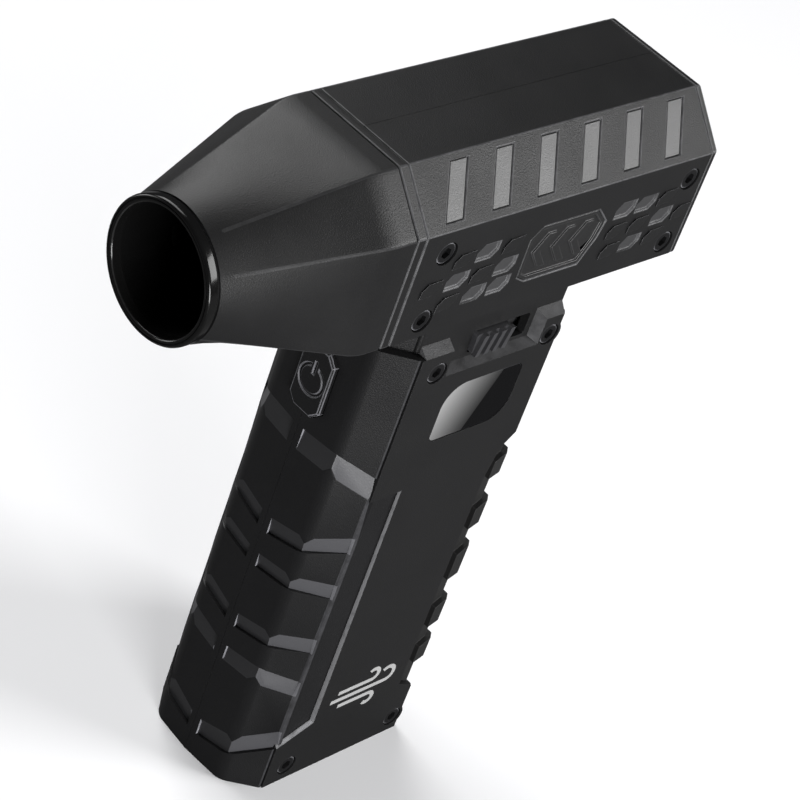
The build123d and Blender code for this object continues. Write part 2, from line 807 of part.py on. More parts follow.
# ---------------------------------------------------------------- cells and their holders
cell_r = 9.2
cell_len = 65.0
cell_pitch = 18.8
cell_gap = 0.6
cell_back = handle_back - tooth_depth - rubber_wall - cell_r - 2 * run
cell_low = base_thick + 2.0
cell_columns = [cell_back, cell_back - cell_pitch]
cell_mid = cell_low + cell_len + cell_gap / 2
cell_high = cell_low + 2 * cell_len + cell_gap
tab_thick = 0.3
tab_wide = 7.0
tab_long = cell_pitch + 9.0
holder_back = handle_back - wall - 2 * fit
holder_mid_back = handle_back - tooth_depth - rubber_wall - fit
holder_front = handle_screw_front - 3.0
holder_half = floor_inner - fit
holder_tall = 10.0


def holder(low, high, back):
    """Adds a block across the handle that the cells pass through."""
    with BuildSketch(Plane.XY.offset(low)) as block:
        with Locations(((holder_front + back) / 2, 0)):
            RectangleRounded(back - holder_front, 2 * holder_half, 2.0)
    extrude(block.sketch, amount=high - low)
    with BuildSketch(Plane.XY.offset(cell_low)) as pockets:
        with Locations(*[(x, 0) for x in cell_columns]):
            Circle(cell_r + fit)
    extrude(pockets.sketch, amount=cell_high - cell_low, mode=Mode.SUBTRACT)


def side_pilots(z):
    """Drills the holes that the handle's side screws bite."""
    with BuildSketch(Plane.XZ) as pilots:
        with Locations((handle_screw_front, z), (handle_screw_back, z)):
            Circle(screw_r + seam / 2)
    extrude(pilots.sketch, amount=handle_half, both=True, mode=Mode.SUBTRACT)


with BuildPart() as cell_holder_bottom:
    holder(base_thick + seam, base_thick + holder_tall, holder_back)
    side_pilots(handle_screw_low)
finish(cell_holder_bottom, "cell_holder_bottom")

with BuildPart() as cell_holder_middle:
    holder(cell_mid - holder_tall / 2, cell_mid + holder_tall / 2, holder_mid_back)
finish(cell_holder_middle, "cell_holder_middle")

with BuildPart() as cell_holder_top:
    holder(cell_high - holder_tall / 2, cell_high + 1.3, holder_back)
    with BuildSketch(Plane.XY.offset(cell_high)):
        with Locations(((cell_columns[0] + cell_columns[1]) / 2, 0)):
            Rectangle(tab_long + run, tab_wide + run)
    extrude(amount=tab_thick + seam, mode=Mode.SUBTRACT)
    with BuildSketch(Plane.XZ.offset(switch_face - run)):
        with Locations((recess_x, cell_high)):
            Rectangle(recess_long - wall, 2 * holder_tall)
    extrude(amount=handle_half, mode=Mode.SUBTRACT)
    side_pilots(handle_screw_high)
finish(cell_holder_top, "cell_holder_top")

with BuildPart() as battery_cells:
    for low in (cell_low, cell_mid + cell_gap / 2):
        with BuildSketch(Plane.XY.offset(low)):
            with Locations(*[(x, 0) for x in cell_columns]):
                Circle(cell_r)
        extrude(amount=cell_len)
finish(battery_cells, "battery_cells")

with BuildPart() as cell_tabs:
    with BuildSketch(Plane.XY.offset(cell_high + seam / 2)):
        with Locations(((cell_columns[0] + cell_columns[1]) / 2, 0)):
            RectangleRounded(tab_long, tab_wide, 1.0)
    extrude(amount=tab_thick)
    with BuildSketch(Plane.XY.offset(cell_mid - tab_thick / 2)):
        with Locations(*[(x, 0) for x in cell_columns]):
            RectangleRounded(tab_wide, tab_wide, 1.0)
    extrude(amount=tab_thick)
finish(cell_tabs, "cell_tabs")

# ---------------------------------------------------------------- boards, button, switch and display
board_thick = 1.4
board_y = cell_r + 2.6
board_low = cell_mid + holder_tall
board_high = cell_high - holder_tall
board_long = 30.0
board_x = (cell_columns[0] + cell_columns[1]) / 2
with BuildPart() as main_board:
    with BuildSketch(Plane.XZ.offset(-board_y)):
        with Locations((board_x, (board_low + board_high) / 2)):
            RectangleRounded(board_long, board_high - board_low, 1.5)
    extrude(amount=-board_thick)
finish(main_board, "main_board")

with BuildPart() as board_parts:
    with BuildSketch(Plane.XZ.offset(-board_y - board_thick)):
        with Locations((board_x, (board_low + board_high) / 2)):
            with GridLocations(9.0, 8.0, 3, 2):
                Rectangle(6.2, 5.2)
        with Locations((board_x - 8.0, board_high - 7.0), (board_x + 8.0, board_high - 7.0)):
            Circle(3.0)
    extrude(amount=-1.8)
finish(board_parts, "board_parts")

button_back = handle_front + wall + front_crown + run + button_flange
with BuildPart() as power_button:
    with BuildSketch(Plane.YZ.offset(handle_front - button_proud)):
        outline(button_outline)
    extrude(amount=button_back - handle_front + button_proud)
    chamfer(power_button.faces().sort_by(Axis.X)[0].edges(), 0.5)
    with BuildSketch(Plane.YZ.offset(button_back - button_flange)):
        outline(button_outline, 1.2)
    extrude(amount=button_flange)
    with BuildSketch(Plane.YZ.offset(handle_front - button_proud)):
        with Locations((0, button_middle)):
            Circle(4.2)
            Circle(3.4, mode=Mode.SUBTRACT)
            with Locations((0, 3.8)):
                Rectangle(2.6, 3.0, mode=Mode.SUBTRACT)
            with Locations((0, 3.4)):
                Rectangle(0.8, 3.6)
    extrude(amount=0.35, mode=Mode.SUBTRACT)
finish(power_button, "power_button")

tact_start = button_back + button_travel + run
with BuildPart() as tact_switch:
    with BuildSketch(Plane.YZ.offset(tact_start)):
        with Locations((0, button_middle)):
            Circle(1.75)
    extrude(amount=1.2)
    with BuildSketch(Plane.YZ.offset(tact_start + 1.2)):
        with Locations((0, button_middle)):
            RectangleRounded(6.0, 6.0, 0.4)
    extrude(amount=2.0)
finish(tact_switch, "tact_switch")

with BuildPart() as button_board:
    with BuildSketch(Plane.YZ.offset(tact_start + 3.2)):
        with Locations((0, button_middle)):
            RectangleRounded(20.0, button_high - button_low, 1.0)
    extrude(amount=board_thick)
finish(button_board, "button_board")

rib_count = 4
rib_pitch = 2.9
rib_wide = 1.3
rib_lean = 1.4
knob_front = slot_front + knob_gap
knob_middle = knob_front + knob_long / 2
slot_middle = slot_high - slot_tall / 2
knob_proud = 1.2
rib_tall = 1.2
with BuildPart() as slider_knob:
    with BuildSketch(Plane.XZ.offset(floor_inner - run)):
        with Locations((knob_middle, slot_middle)):
            RectangleRounded(knob_long, knob_tall, 0.8)
    extrude(amount=wall + run + knob_proud)
    with BuildSketch(Plane.XZ.offset(neck_side + knob_proud)):
        for place in range(rib_count):
            x = knob_middle + (place - (rib_count - 1) / 2) * rib_pitch
            half = knob_tall / 2
            outline([
                (x - rib_wide / 2 - rib_lean / 2, slot_middle - half), (x + rib_wide / 2 - rib_lean / 2, slot_middle - half),
                (x + rib_wide / 2 + rib_lean / 2, slot_middle + half), (x - rib_wide / 2 + rib_lean / 2, slot_middle + half),
            ])
    extrude(amount=rib_tall)
    with BuildSketch(Plane.XZ.offset(floor_inner - run)):
        with Locations((knob_middle, slot_middle)):
            RectangleRounded(knob_long + 3.6, knob_tall + 2.4, 0.8)
    extrude(amount=-flange_thick)
finish(slider_knob, "slider_knob")

switch_tall = 5.6
switch_deep = 4.6
switch_z = cell_high + 1.3 + run + 0.6 + switch_tall / 2
with BuildPart() as slide_switch:
    with BuildSketch(Plane.XZ.offset(switch_face)):
        with Locations((knob_middle + slider_travel / 2, switch_z)):
            Rectangle(14.0, switch_tall)
    extrude(amount=-switch_deep)
finish(slide_switch, "slide_switch")

with BuildPart() as switch_board:
    with BuildSketch(Plane.XZ.offset(switch_face - switch_deep)):
        with Locations((knob_middle + slider_travel / 2, switch_z)):
            RectangleRounded(26.0, switch_tall + 1.0, 1.0)
    extrude(amount=-board_thick)
finish(switch_board, "switch_board")

with BuildPart() as display_window:
    with BuildSketch(Plane.XZ.offset(handle_half - fit)):
        window_shape()
    extrude(amount=-window_thick)
finish(display_window, "display_window")

with BuildPart() as display_board:
    with BuildSketch(Plane.XZ.offset(handle_half - wall - run)):
        with Locations((window_x, window_z)):
            RectangleRounded(window_long - 1.0, window_tall - 1.0, 1.0)
    extrude(amount=-board_thick)
finish(display_board, "display_board")
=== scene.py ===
"""Looks for a handheld turbo blower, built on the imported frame.

Laid out as an add-on: property groups hold the sizes and colours, each piece or group of like pieces
has one operator, and main() runs them in order.
"""

from math import atan2, cos, hypot, pi, radians, sin

import bmesh
import bpy
from bmesh.types import BMEdge, BMFace, BMVert
from mathutils import Matrix, Vector


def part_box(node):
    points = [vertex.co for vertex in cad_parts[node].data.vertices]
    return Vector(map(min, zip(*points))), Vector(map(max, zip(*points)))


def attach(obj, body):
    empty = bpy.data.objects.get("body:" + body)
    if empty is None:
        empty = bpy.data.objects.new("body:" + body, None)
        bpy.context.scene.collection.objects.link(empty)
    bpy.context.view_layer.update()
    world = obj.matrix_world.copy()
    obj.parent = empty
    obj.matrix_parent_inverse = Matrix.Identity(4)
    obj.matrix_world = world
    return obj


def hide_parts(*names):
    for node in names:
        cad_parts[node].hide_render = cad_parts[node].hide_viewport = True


bl_info = {
    "name": "Turbo Blower",
    "version": (1, 0, 0),
    "blender": (4, 5, 0),
    "location": "View3D > Sidebar > Blower",
    "description": "Builds the visible pieces and the studio of a handheld turbo blower",
    "category": "Add Mesh",
}

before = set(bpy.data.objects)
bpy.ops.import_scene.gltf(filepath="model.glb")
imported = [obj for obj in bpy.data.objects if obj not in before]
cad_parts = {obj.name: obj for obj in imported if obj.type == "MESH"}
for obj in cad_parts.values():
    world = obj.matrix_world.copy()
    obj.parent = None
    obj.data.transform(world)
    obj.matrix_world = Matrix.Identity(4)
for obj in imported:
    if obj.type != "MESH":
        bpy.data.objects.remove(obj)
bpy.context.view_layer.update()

MM = 0.001
LEFT, RIGHT = -1, 1

cone_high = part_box("nozzle_cone")[1]
rim_low, rim_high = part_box("nozzle_rim")
head_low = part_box("head_shell_left")[0]
cover_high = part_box("rear_cover")[1]
grip_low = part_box("grip_left")[0]
shell_low, shell_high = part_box("handle_shell_left")

TIP_X = rim_low.x
SEAM_X = cone_high.x
BACK_X = cover_high.x
BELLY_Z = head_low.z
ROOF_Z = cone_high.z
EAVES_HALF = cone_high.y
AXIS_Z = (rim_low.z + rim_high.z) / 2
RIM_R = (rim_high.z - rim_low.z) / 2
HANDLE_FRONT = grip_low.x
HANDLE_BACK = shell_high.x
HANDLE_HALF = -shell_low.y
ROOF_HALF = 14.3 * MM
EAVES_Z = AXIS_Z + 13.75 * MM
BORE_R = 14.1 * MM
WALL = 2.2 * MM
RIM_LEN = 2.6 * MM
NOZZLE_BAND = 7.0 * MM      # upright band behind the nozzle's cone
GAP = 0.45 * MM             # between the nozzle and the collar
RIDGE_X = HANDLE_FRONT + 9.25 * MM      # between the handle's chamfer and its side
FRONT_HALF = 12.4 * MM
CROWN_X = HANDLE_FRONT + 0.95 * MM      # where the handle's front meets its chamfers
TAB_X = RIDGE_X + 10.3 * MM             # back of the grip's side strip
TAB_HIGH = BELLY_Z - 57.5 * MM
TAB_LOW = 19.2 * MM
LEDGE_Z = 132.2             # mm, foot of the switch's recess
SHOULDER_Z = 139.7          # mm, top of the blocks beside the recess
RECESS_DEPTH = 2.62 * MM

# The painted reflection on the window, a light sweep painted into its colour, ends on a line through this point. It
# leans back by this much per rise, and the painted light takes this long a reach in front of it to come up to full
PAINTED_REFLECTION_POINT = Vector((12.2 * MM, 0.0, 126.7 * MM))
PAINTED_REFLECTION_LEAN = 0.47
PAINTED_REFLECTION_REACH = 16.5 * MM

HEAD_SCREWS = [
    (x, z) for x in (SEAM_X + 11.1 * MM, BACK_X - 7.0 * MM) for z in (AXIS_Z + 7.4 * MM, AXIS_Z - 10.7 * MM)]
HANDLE_SCREWS = [
    (x, z) for x in (RIDGE_X + 6.9 * MM, HANDLE_BACK - 3.8 * MM) for z in (BELLY_Z - 20.6 * MM, 4.9 * MM)]
SEAT_REACH = 3.9 * MM       # round a screw's middle, takes in its seat's edges


# ---------------------------------------------------------------- sizes and colours that a user would change
class BlowerFinish(bpy.types.PropertyGroup):
    """Colours and finishes of the blower."""

    housing: bpy.props.FloatVectorProperty(
        name="Housing", description="Moulded plastic of the head and the handle",
        subtype="COLOR", size=3, min=0, max=1, default=(0.0075, 0.0075, 0.0078))
    grip: bpy.props.FloatVectorProperty(
        name="Grip", description="Plastic of the two front grips",
        subtype="COLOR", size=3, min=0, max=1, default=(0.006, 0.006, 0.0065))
    rubber: bpy.props.FloatVectorProperty(
        name="Rubber", description="Rear grip",
        subtype="COLOR", size=3, min=0, max=1, default=(0.005, 0.005, 0.005))
    inlay: bpy.props.FloatVectorProperty(
        name="Inlays", description="Leaning inlays on the roof slopes",
        subtype="COLOR", size=3, min=0, max=1, default=(0.07, 0.07, 0.07))
    trim: bpy.props.FloatVectorProperty(
        name="Badges", description="Badge plates on the sides of the head",
        subtype="COLOR", size=3, min=0, max=1, default=(0.008, 0.008, 0.0082))
    gloss: bpy.props.FloatVectorProperty(
        name="Gloss", description="Outlet rim and display window",
        subtype="COLOR", size=3, min=0, max=1, default=(0.004, 0.004, 0.004))
    screw: bpy.props.FloatVectorProperty(
        name="Screws", description="Black oxide steel of the screws",
        subtype="COLOR", size=3, min=0, max=1, default=(0.007, 0.007, 0.0075))
    symbol: bpy.props.FloatVectorProperty(
        name="Symbol", description="Ink of the airflow symbol",
        subtype="COLOR", size=3, min=0, max=1, default=(0.30, 0.30, 0.30))
    grain: bpy.props.FloatProperty(
        name="Grain", description="Distance between the grains of the moulded plastic",
        unit="LENGTH", min=0.0001, max=0.002, default=0.00032, precision=5)


class BlowerEdges(bpy.types.PropertyGroup):
    """How broad the rounded edges are."""

    shell: bpy.props.FloatProperty(
        name="Shells", description="Edges of the shells and covers",
        unit="LENGTH", min=0, max=0.001, default=0.35 * MM, precision=5)
    fine: bpy.props.FloatProperty(
        name="Fine", description="Edges of the badges, inlays, knob and symbols",
        unit="LENGTH", min=0, max=0.001, default=0.18 * MM, precision=5)
    strip: bpy.props.FloatProperty(
        name="Strip", description="Slope that leads down to the grip's side strip",
        unit="LENGTH", min=0, max=0.001, default=0.85 * MM, precision=5)
    corner: bpy.props.FloatProperty(
        name="Corners", description="Upright corners of the grips",
        unit="LENGTH", min=0, max=0.003, default=2.0 * MM, precision=5)
    crest: bpy.props.FloatProperty(
        name="Crests", description="Upright ridges between the handle's chamfers and sides",
        unit="LENGTH", min=0, max=0.003, default=0.9 * MM, precision=5)
    shoulder: bpy.props.FloatProperty(
        name="Shoulder", description="Round between the nozzle's band and its cone",
        unit="LENGTH", min=0, max=0.005, default=2.6 * MM, precision=5)
    ridge: bpy.props.FloatProperty(
        name="Ridges", description="Ridges between the nozzle's six faces",
        unit="LENGTH", min=0, max=0.002, default=0.4 * MM, precision=5)


class BlowerStudio(bpy.types.PropertyGroup):
    """Floor and lights."""

    floor: bpy.props.FloatVectorProperty(
        name="Floor", description="Colour of the floor",
        subtype="COLOR", size=3, min=0, max=1, default=(0.86, 0.86, 0.87))
    bounce: bpy.props.FloatProperty(
        name="Bounce", description="Share of the floor's light that reaches the blower, as with flags on it",
        subtype="FACTOR", min=0, max=1, default=0.15)
    overhead: bpy.props.FloatProperty(
        name="Overhead", description="Power of the large softbox above",
        unit="POWER", min=0, max=200, default=20)
    side: bpy.props.FloatProperty(
        name="Side", description="Power of the softbox that lights the roof slope",
        unit="POWER", min=0, max=200, default=10)
    corner: bpy.props.FloatProperty(
        name="Corner", description="Power of the low softbox that lights the handle's chamfer",
        unit="POWER", min=0, max=200, default=11)
    front: bpy.props.FloatProperty(
        name="Front", description="Power of the low softbox on the far side",
        unit="POWER", min=0, max=200, default=3)


# ---------------------------------------------------------------- shader effects
VECTOR, COLOUR, VALUE = "NodeSocketVector", "NodeSocketColor", "NodeSocketFloat"


def add_node(tree, kind, links=(), **settings):
    """Adds a node, sets it, and links or sets its inputs by name or number."""
    node = tree.nodes.new(kind)
    for key, value in settings.items():
        setattr(node, key, value)
    for socket, value in dict(links).items():
        if isinstance(value, bpy.types.NodeSocket):
            tree.links.new(value, node.inputs[socket])
        else:
            node.inputs[socket].default_value = value
    return node


def calc(tree, operation, *values):
    """The result of a sum on the values."""
    return add_node(tree, "ShaderNodeMath", enumerate(values), operation=operation).outputs[0]


def blend(tree, factor, first, second):
    """The two colours mixed by the factor."""
    return add_node(tree, "ShaderNodeMix", {"Factor": factor, 6: first, 7: second}, data_type="RGBA").outputs[2]


def noise(tree, where, scale, detail, roughness=0.5):
    """A soft noise from 0 to 1."""
    links = {"Vector": where, "Scale": scale, "Detail": detail, "Roughness": roughness}
    return add_node(tree, "ShaderNodeTexNoise", links).outputs["Fac"]


def carry(tree, value, low, high, new_low, new_high):
    """The value carried from one range to another and held inside it."""
    links = {"Value": value, "From Min": low, "From Max": high, "To Min": new_low, "To Max": new_high}
    return add_node(tree, "ShaderNodeMapRange", links).outputs["Result"]


def effect_group(name, inputs, outputs):
    """An empty node group with the sockets that its inside reads from and writes to."""
    group = bpy.data.node_groups.new(name, "ShaderNodeTree")
    for way, sockets in (("INPUT", inputs), ("OUTPUT", outputs)):
        for label, kind in sockets.items():
            group.interface.new_socket(label, in_out=way, socket_type=kind)
    return group, group.nodes.new("NodeGroupInput").outputs, group.nodes.new("NodeGroupOutput").inputs


def grain_group(name):
    """Fine moulded grain: a height for the bump and a tone that varies over the surface."""
    tree, given, result = effect_group(
        name, {"Vector": VECTOR, "Density": VALUE, "Patch": VALUE}, {"Height": VALUE, "Tone": VALUE})
    fine = noise(tree, given["Vector"], given["Density"], 2.0, 0.6)
    cells = add_node(tree, "ShaderNodeTexVoronoi", {"Vector": given["Vector"], "Scale": given["Density"]})
    patch = noise(tree, given["Vector"], given["Patch"], 4.0, 0.55)
    tone = calc(tree, "MULTIPLY_ADD", fine, 0.45, 0.0)
    tree.links.new(calc(tree, "ADD", fine, cells.outputs["Distance"]), result["Height"])
    tree.links.new(calc(tree, "MULTIPLY_ADD", patch, 0.55, tone), result["Tone"])
    return tree


def wear_and_highlight_group(name):
    """Edges made lighter, broken up by a noise, where a piece's faces carry the edge attribute: partly rubbed wear,
    partly a painted highlight on the edges.
    """
    tree, given, result = effect_group(
        name, {"Vector": VECTOR, "Colour": COLOUR, "Worn": COLOUR, "Amount": VALUE}, {"Colour": COLOUR})
    edge = add_node(tree, "ShaderNodeAttribute", attribute_name="edge")
    patch = noise(tree, given["Vector"], 260.0, 3.0, 0.65)
    rubbed_and_lit = calc(tree, "MULTIPLY", edge.outputs["Fac"], carry(tree, patch, 0.25, 0.6, 0.35, 1.0))
    mask = calc(tree, "MULTIPLY", rubbed_and_lit, given["Amount"])
    tree.links.new(blend(tree, mask, given["Colour"], given["Worn"]), result["Colour"])
    return tree


def dust_group(name):
    """A thin film of dust on faces that look up, and small specks."""
    tree, given, result = effect_group(
        name, {"Vector": VECTOR, "Colour": COLOUR, "Amount": VALUE}, {"Colour": COLOUR})
    normal = add_node(tree, "ShaderNodeNewGeometry").outputs["Normal"]
    upward = carry(tree, add_node(tree, "ShaderNodeSeparateXYZ", {0: normal}).outputs["Z"], -0.2, 1.0, 0.15, 1.0)
    film = noise(tree, given["Vector"], 90.0, 5.0, 0.7)
    cells = add_node(tree, "ShaderNodeTexVoronoi", {"Vector": given["Vector"], "Scale": 700.0})
    specks = calc(tree, "LESS_THAN", cells.outputs["Distance"], 0.12)
    lying = calc(tree, "MULTIPLY", calc(tree, "MULTIPLY_ADD", specks, 0.6, film), upward)
    mask = calc(tree, "MULTIPLY", lying, given["Amount"])
    tree.links.new(blend(tree, mask, given["Colour"], (0.35, 0.34, 0.33, 1.0)), result["Colour"])
    return tree


def painted_reflection_group(name):
    """A painted reflection on the window: a light sweep in its colour that darkens towards a slanting line and ends
    there.
    """
    tree, given, result = effect_group(
        name, {"Vector": VECTOR, "Colour": COLOUR, "Light": COLOUR, "Line": VALUE, "Reach": VALUE},
        {"Colour": COLOUR})
    across = add_node(tree, "ShaderNodeVectorMath", {0: given["Vector"], 1: (1.0, 0.0, -PAINTED_REFLECTION_LEAN)},
                      operation="DOT_PRODUCT")
    share = calc(tree, "DIVIDE", calc(tree, "SUBTRACT", given["Line"], across.outputs["Value"]), given["Reach"])
    bright = calc(tree, "POWER", carry(tree, share, 0.0, 1.0, 0.18, 1.0), 1.6)
    mask = calc(tree, "MULTIPLY", bright, calc(tree, "GREATER_THAN", share, 0.0))
    tree.links.new(blend(tree, mask, given["Colour"], given["Light"]), result["Colour"])
    return tree


EFFECTS = {"grain": grain_group, "wear": wear_and_highlight_group, "dust": dust_group, "sweep": painted_reflection_group}


def effect(tree, name, links):
    """Places an effect in a material with its own values."""
    key = "blower " + name
    group = bpy.data.node_groups.get(key) or EFFECTS[name](key)
    return add_node(tree, "ShaderNodeGroup", links, node_tree=group)


SOCKETS = {
    "metallic": "Metallic", "specular": "Specular IOR Level",
    "coat": "Coat Weight", "coat_roughness": "Coat Roughness",
}


def tint(colour, gain):
    """The colour made lighter or darker, with an alpha."""
    return (*[min(1.0, c * gain) for c in colour], 1.0)


def moulded(name, colour, rough=(0.36, 0.48), bump=0.35, depth=0.00008, density=None, contrast=0.22,
            wear=0.5, worn=14.0, dust=0.015, stretch=(1, 1, 1), sweep=None, **constants):
    """A finish with grain, tone that varies, edges lightened as wear and as a painted highlight, dust, and a painted
    reflection where asked. The constants go on the shader's own sockets.
    """
    found = bpy.data.materials.get(name)
    if found:
        return found
    material = bpy.data.materials.new(name)
    material.use_nodes = True
    tree = material.node_tree
    shader = tree.nodes["Principled BSDF"]
    place = add_node(tree, "ShaderNodeTexCoord").outputs["Object"]
    where = add_node(tree, "ShaderNodeMapping", {
        "Vector": place, "Location": (0.0, 0.0, -AXIS_Z), "Scale": stretch}).outputs["Vector"]
    density = density or 1 / bpy.context.scene.blower_finish.grain
    grain = effect(tree, "grain", {"Vector": where, "Density": density, "Patch": 60.0}).outputs
    paint = blend(tree, grain["Tone"], tint(colour, 1 - contrast), tint(colour, 1 + contrast))
    # Lightens the marked edges: partly wear, partly a painted highlight
    paint = effect(tree, "wear", {
        "Vector": where, "Colour": paint, "Worn": tint(colour, worn), "Amount": wear}).outputs["Colour"]
    paint = effect(tree, "dust", {"Vector": where, "Colour": paint, "Amount": dust}).outputs["Colour"]
    # Paints a reflection on the window: a fixed light sweep in its colour
    if sweep:
        line = PAINTED_REFLECTION_POINT.x - PAINTED_REFLECTION_LEAN * (PAINTED_REFLECTION_POINT.z - AXIS_Z)
        paint = effect(tree, "sweep", {
            "Vector": where, "Colour": paint, "Light": tint((1, 1, 1), sweep), "Line": line,
            "Reach": PAINTED_REFLECTION_REACH}).outputs["Colour"]
    bumps = add_node(tree, "ShaderNodeBump", {"Height": grain["Height"], "Strength": bump, "Distance": depth})
    tree.links.new(paint, shader.inputs["Base Color"])
    tree.links.new(carry(tree, grain["Tone"], 0.3, 0.7, *rough), shader.inputs["Roughness"])
    tree.links.new(bumps.outputs["Normal"], shader.inputs["Normal"])
    for socket, value in constants.items():
        shader.inputs[SOCKETS[socket]].default_value = value
    return material


# Each finish: its material's name, its colour or the property that holds it, how many times lighter it is, its values
FINISHES = {
    # The housing and grip edges are lightened strongly: a painted highlight as well as wear
    "housing": ("housing plastic", "housing", 1, dict(worn=20.0, specular=0.25)),
    "grip": ("grip plastic", "grip", 1, dict(rough=(0.38, 0.5), worn=40.0, specular=0.25)),
    # Lighter copies of the housing and grip plastic: painted highlights on the cell floors, the knob and the notch
    # floors
    "cell": ("cell satin", "housing", 4, dict(rough=(0.34, 0.42), bump=0.1, wear=0.6, worn=4.0, contrast=0.1)),
    "knob": ("knob satin", "grip", 5, dict(rough=(0.32, 0.42), bump=0.15, wear=0.8, worn=6.0, contrast=0.15)),
    "front notch": ("front notch satin", "grip", 2.5, dict(
        rough=(0.30, 0.36), bump=0.1, wear=0.6, worn=5.0, contrast=0.1, specular=0.6)),
    "chamfer notch": ("chamfer notch satin", "grip", 10, dict(
        rough=(0.30, 0.36), bump=0.1, wear=0.6, worn=5.0, contrast=0.1, specular=0.6)),
    # A darker copy of the plastic for the inside of the bore: painted shade
    "bore": ("bore black", (0.0015, 0.0015, 0.0015), 1, dict(rough=(0.7, 0.8), wear=0, dust=0.0, specular=0.05)),
    # The display glass carries a painted reflection, a light sweep in its colour
    "glass": ("display glass", (0.0025, 0.0025, 0.0028), 1, dict(
        rough=(0.16, 0.22), bump=0.02, depth=0.00001, dust=0.0, wear=0.4, worn=30.0, sweep=0.24, specular=0.06)),
    "rubber": ("rear rubber", "rubber", 1, dict(rough=(0.5, 0.65), density=2200, wear=0.4, worn=6.0)),
    "inlay": ("inlay satin", "inlay", 1, dict(rough=(0.38, 0.5), wear=0.2, worn=1.8, contrast=0.12)),
    "trim": ("badge trim", "trim", 1, dict(wear=0.7, worn=7.0)),
    "gloss": ("piano gloss", "gloss", 1, dict(
        rough=(0.12, 0.18), bump=0.03, depth=0.00001, dust=0.004, wear=0.3, worn=12.0, specular=0.2, coat=0.05,
        coat_roughness=0.06)),
    "screw": ("black oxide", "screw", 1, dict(rough=(0.28, 0.42), bump=0.12, wear=0.8, worn=22.0, specular=0.1)),
    "symbol": ("symbol ink", "symbol", 1, dict(rough=(0.45, 0.6), contrast=0.1, wear=0.0)),
}


def finish_of(key):
    """The material of a finish."""
    name, colour, gain, values = FINISHES[key]
    if isinstance(colour, str):
        colour = getattr(bpy.context.scene.blower_finish, colour)
    return moulded(name, tint(colour, gain)[:3], **values)


# ---------------------------------------------------------------- shapes
def make_piece(name, bm, body, material, nodes=(), smooth=True):
    """Makes an object of a bmesh, puts it on its body and hides the nodes that it stands for."""
    for face in bm.faces:
        face.smooth = smooth
    for edge in bm.edges:
        if not edge.is_manifold or edge.calc_face_angle(0) > radians(50):
            edge.smooth = False
    mesh = bpy.data.meshes.new(name)
    bm.to_mesh(mesh)
    bm.free()
    obj = bpy.data.objects.new(name, mesh)
    bpy.context.scene.collection.objects.link(obj)
    mesh.materials.append(material)
    if smooth:
        weights = obj.modifiers.new("Face weights", "WEIGHTED_NORMAL")
        weights.keep_sharp = True
    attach(obj, body)
    if nodes:
        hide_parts(*nodes)
    return obj


def edge_layer(bm):
    """The face layer that marks edges for the lightening that stands for wear and a painted highlight."""
    return bm.faces.layers.float.get("edge") or bm.faces.layers.float.new("edge")


def soften(bm, edges, width, segments=2, worn=1.0, clamp=True):
    """Rounds the edges and marks the rounds as worn and lit, which lightens them as wear and as a painted highlight.
    """
    layer = edge_layer(bm)
    made = bmesh.ops.bevel(
        bm, geom=list(edges), offset=width, offset_type="OFFSET", affect="EDGES", segments=segments, profile=0.5,
        material=-1, clamp_overlap=clamp, loop_slide=True)
    for face in made["faces"]:
        face[layer] = worn


def of_kind(items, kind):
    """The items that are points, edges or faces, as kind says."""
    return [item for item in items if isinstance(item, kind)]


def sharp_edges(bm, least=25.0):
    """The edges between faces that turn by more than least degrees."""
    return [e for e in bm.edges if e.is_manifold and e.calc_face_angle(0) > radians(least)]


def edge_middle(edge):
    """The point halfway along an edge."""
    return (edge.verts[0].co + edge.verts[1].co) / 2


def merged_copy(node):
    """A bmesh of a node's mesh with its doubles merged and its flat faces joined."""
    bm = bmesh.new()
    bm.from_mesh(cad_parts[node].data)
    bmesh.ops.remove_doubles(bm, verts=bm.verts, dist=2e-6)
    bmesh.ops.dissolve_degenerate(bm, edges=bm.edges, dist=2e-6)
    bmesh.ops.dissolve_limit(
        bm, angle_limit=radians(0.6), verts=bm.verts, edges=bm.edges, use_dissolve_boundaries=False, delimit=set())
    edge_layer(bm)
    return bm


def outer_edges(bm, least=25.0):
    """A cover's sharp edges, without those along its seam in the middle."""
    return [e for e in sharp_edges(bm, least) if any(abs(v.co.y) >= 0.1 * MM for v in e.verts)]


def screw_edges(edges, places):
    """The edges of the holes that the screws at the places sit in."""
    return [
        e for e in edges if any(hypot(edge_middle(e).x - x, edge_middle(e).z - z) < SEAT_REACH for x, z in places)]


def soft_copy(node, body, material, width, clamp=True):
    """Stands a copy of a node with rounded edges in its place."""
    bm = merged_copy(node)
    soften(bm, sharp_edges(bm), width, clamp=clamp)
    return make_piece(node + "_skin", bm, body, material, [node])


def house_reach(turn, inset=0.0):
    """Distance from the outlet axis to the head's outline, in the direction at turn round the axis."""
    y, z = cos(turn), sin(turn)
    slope = Vector((ROOF_Z - EAVES_Z, EAVES_HALF - ROOF_HALF)).normalized()
    slope_far = slope.dot(Vector((EAVES_HALF, EAVES_Z - AXIS_Z)))
    sides = [
        (0, 1, ROOF_Z - AXIS_Z), (0, -1, AXIS_Z - BELLY_Z), (1, 0, EAVES_HALF), (-1, 0, EAVES_HALF),
        (slope.x, slope.y, slope_far), (-slope.x, slope.y, slope_far),
    ]
    return min((far - inset) / (ny * y + nz * z) for ny, nz, far in sides if ny * y + nz * z > 1e-6)


